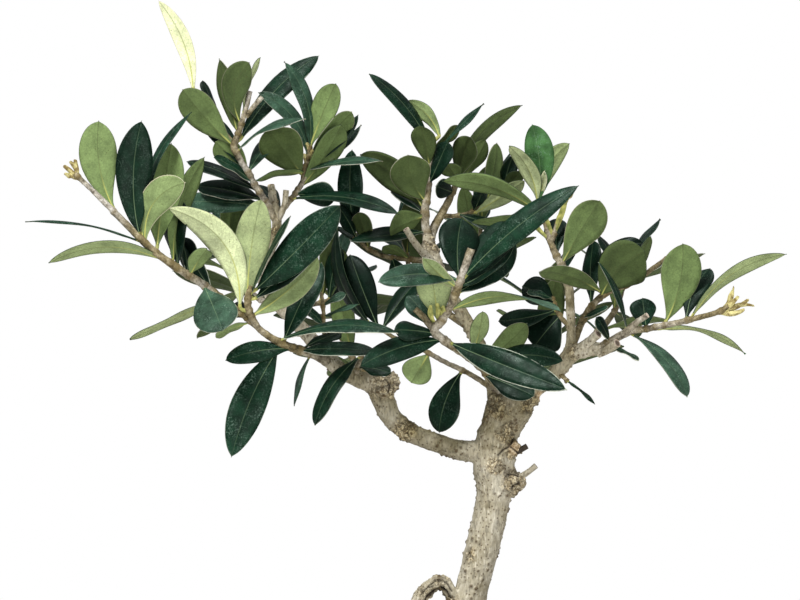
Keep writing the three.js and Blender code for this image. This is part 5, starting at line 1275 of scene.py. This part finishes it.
        [690, 319, 786, 254, 14, 20, -124, -10, 0.72, 0, 4],
        [655, 330, 745, 354, 10, 13, -112, -8, 0.76, 0, 4],
        [630, 334, 687, 397, 22, 31, -62, -5, 0.56, 0.3], [646, 328, 642, 298, -6, 26, 0, 0, 0.25],
        [626, 330, 598, 262, 18, 18, 68, 2, 0.3], [610, 343, 596, 317, 10, 18, 60, 0, 0.15],
        [608, 346, 639, 360, 8, 10, -72, 0, 0.5, 0.8], [721, 311, 733, 286, 4, 3.6, 160, 2, 1.2],
        [722, 312, 738, 296, 6, 3.4, 160, 0, 1.2], [722, 311, 748, 299, 2, 4, -150, 3, 1.2],
        [720, 313, 744, 309, 6, 4, -160, 3, 1.2], [722, 312, 754, 306, -4, 3, -150, -3, 1.2],
    ]),
}


# Ends of twigs that were cut: [right, down, out] on the grid.
CUT_TWIGS = [[471, 249, 84], [415, 309, 67], [647, 315, 38]]
CUT_REACH = 2 * MM
NODE_LIFT = 0.38  # of the twig's bark at a leaf's foot, in mm
NODE_REACH = 0.75  # in mm
NODE_LIMIT = 3  # reaches, past which a node isn't felt
BARK_LIFT = 0.16  # of the twig's bark between its nodes, in mm
BARK_LUMPS = (500, 1300)  # coarse and fine, to a metre
FINE_SHARE = 0.8  # of the coarse lumps' height


def finish_spray(name, twigs, leaves):
    """Makes a spray's twigs, swollen where its leaves grow from them, and joins them with the leaves."""
    stems = as_one("stems", [branch(rows, sides_step=3, along_steps=12) for rows in twigs])
    stem_mesh = stems.data
    for finish_of in FINISHES:
        stem_mesh.materials.append(finish_of)
    close_caps(stems)
    for face in stem_mesh.polygons:
        is_cut = face.select and any((face.center - spot(*end)).length < CUT_REACH for end in CUT_TWIGS)
        face.material_index = TWIG_END if is_cut else TWIG
        face.use_smooth = not face.select
    near_points = search_tree([vertex.co for vertex in stem_mesh.vertices])
    swellings = [0] * len(stem_mesh.vertices)
    for piece in leaves:
        root = Vector(piece["root"])
        radius = near_points.find(root)[2]
        for _, index, gap in near_points.find_range(root, radius + NODE_LIMIT * NODE_REACH * MM):
            swelling = math.exp(-(gap**2 - radius**2) / (NODE_REACH * MM) ** 2)
            swellings[index] = max(swellings[index], min(swelling, 1))
    normals = [vertex.normal.copy() for vertex in stem_mesh.vertices]
    for vertex, normal, swelling in zip(stem_mesh.vertices, normals, swellings):
        coarse, fine = (noise.noise(vertex.co * lumps) for lumps in BARK_LUMPS)
        roughness = coarse + FINE_SHARE * fine
        vertex.co += normal * (NODE_LIFT * swelling + BARK_LIFT * roughness) * MM
    mark(stem_mesh, "swelling", swellings)
    spray = as_one(name + "_leaves", [stems] + leaves)
    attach(spray, "root")
    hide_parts(name)


for number, (name, (twigs, rows)) in enumerate(SPRAYS.items()):
    leaves = [row_leaf(twigs, row, 100 * number + i) for i, row in enumerate(rows)]
    finish_spray(name, twigs, leaves)


# ---------- sprays at the back of the crown ----------
# Young twigs that reach to the back, each with its leaves in opposite pairs, every pair turned a quarter
# from the last, and one leaf at the end.

BACK_LEAF_LENGTH = 34 * MM
BACK_LEAF_WIDTH = 10.5 * MM
BACK_LEAF_LEAN = 0.75  # along the twig, to 1 outwards
BACK_LEAF_FACE = (0.6, -0.25)  # how the upper side turns along the twig and outwards, to 1 upwards
BACK_TONE = (0.15, 0.4)  # the darkest, and how much paler by chance
PAIR_TURN = 0.5  # radians by chance
PAIR_SIZE = (0.85, 0.3)  # the smallest, and how much larger by chance
PARTNER_SIZE = (0.9, 0.2)  # of a pair's second leaf to its first, and how much larger by chance
SIZE_SEED, PARTNER_SEED = 31, 57
FIRST_PAIR = 0.3  # share of the twig's length
PAIRS_SPAN = 0.66  # share of the twig's length
END_LEAF = 0.97  # share of the twig's length
END_LEAF_SIZE = 0.9
END_LEAF_TURN = 0.3  # outwards
NEAR = 0.0001  # share of a twig's length to each side over which its direction is taken
# Twigs at the back: how many pairs of leaves, a seed, and the twig's rows of [right, down, out, radius].
BACK_SPRAYS = {
    "back_far_left_spray": (4, 137, [
        [286, 313, -16, 3.6], [264, 302, -48, 3], [246, 288, -78, 2.8], [232, 268, -100, 2.4],
        [222, 246, -116, 2],
    ]),
    "back_left_spray": (5, 26, [
        [381, 398, 6, 4], [372, 384, -30, 3.6], [355, 362, -66, 3], [342, 338, -94, 2.8],
        [336, 312, -114, 2.4], [332, 286, -124, 2],
    ]),
    "back_middle_left_spray": (4, 24, [
        [470, 328, -34, 4], [446, 312, -70, 3.4], [422, 292, -98, 3], [410, 268, -114, 2.6],
        [404, 240, -124, 2],
    ]),
    "back_middle_right_spray": (4, 27, [
        [449, 292, -42, 4], [464, 276, -80, 3.4], [474, 258, -108, 3], [480, 236, -126, 2.6],
        [482, 212, -136, 2],
    ]),
    "back_middle_spray": (5, 177, [
        [520, 396, -10, 5], [532, 383, -50, 4], [542, 364, -88, 3.4], [548, 342, -108, 3],
        [550, 323, -120, 2.4], [550, 304, -128, 2],
    ]),
    "back_right_spray": (3, 153, [
        [576, 350, 8, 4], [595, 335, -34, 3.4], [612, 316, -70, 3], [622, 295, -98, 2.6],
        [626, 272, -116, 2],
    ]),
}


def chance(seed):
    """The same share between 0 and 1 for the same number each time."""
    wave = math.sin(seed * 12.9898) * 43758.5453
    return wave - math.floor(wave)


def on_twig(points, share):
    """A point on the smooth curve through a twig's points, a centripetal Catmull-Rom spline."""
    last = len(points) - 1
    i = min(int(share * last), last - 1)
    weight = share * last - i
    p1, p2 = points[i], points[i + 1]
    p0 = points[i - 1] if i > 0 else p1 * 2 - p2
    p3 = points[i + 2] if i + 2 <= last else p2 * 2 - p1
    dt0, dt1, dt2 = ((b - a).length ** 0.5 for a, b in ((p0, p1), (p1, p2), (p2, p3)))
    t1 = ((p1 - p0) / dt0 - (p2 - p0) / (dt0 + dt1) + (p2 - p1) / dt1) * dt1
    t2 = ((p2 - p1) / dt1 - (p3 - p1) / (dt1 + dt2) + (p3 - p2) / dt2) * dt1
    c2 = (p2 - p1) * 3 - t1 * 2 - t2
    c3 = (p1 - p2) * 2 + t1 + t2
    return p1 + t1 * weight + c2 * weight**2 + c3 * weight**3


def paired_leaves(rows, pairs, seed):
    """Pairs of opposite leaves along a twig and a leaf at its end, with all chance taken from the seed."""
    points = [spot(*row[:3]) for row in rows]
    leaves = []

    def grow(root, along, outward, size):
        heading = (outward + along * BACK_LEAF_LEAN).normalized()
        tip = root + heading * BACK_LEAF_LENGTH * size
        upper = UP + along * BACK_LEAF_FACE[0] + outward * BACK_LEAF_FACE[1]
        number = seed * 100 + len(leaves)
        tone = BACK_TONE[0] + BACK_TONE[1] * chance(number)
        leaves.append(leaf(root, root, tip, upper, BACK_LEAF_WIDTH * size, Vector(), tone, number))

    def direction(share):
        return (on_twig(points, share + NEAR) - on_twig(points, share - NEAR)).normalized()

    for i in range(pairs):
        share = FIRST_PAIR + PAIRS_SPAN * i / (pairs - 0.5)
        root, along = on_twig(points, share), direction(share)
        turn = (i % 2) * math.pi / 2 + PAIR_TURN * (chance(seed + i) - 0.5)
        outward = Matrix.Rotation(turn, 3, along) @ along.cross(UP).normalized()
        size = PAIR_SIZE[0] + PAIR_SIZE[1] * chance(seed + SIZE_SEED + i)
        partner = PARTNER_SIZE[0] + PARTNER_SIZE[1] * chance(seed + PARTNER_SEED + i)
        grow(root, along, outward, size)
        grow(root, along, -outward, size * partner)
    along = direction(END_LEAF)
    end_outward = along.cross(UP).normalized() * END_LEAF_TURN
    grow(on_twig(points, END_LEAF), along, end_outward, END_LEAF_SIZE)
    return leaves


for name, (pairs, seed, rows) in BACK_SPRAYS.items():
    finish_spray(name, [rows], paired_leaves(rows, pairs, seed))
bpy.data.objects.remove(blank)
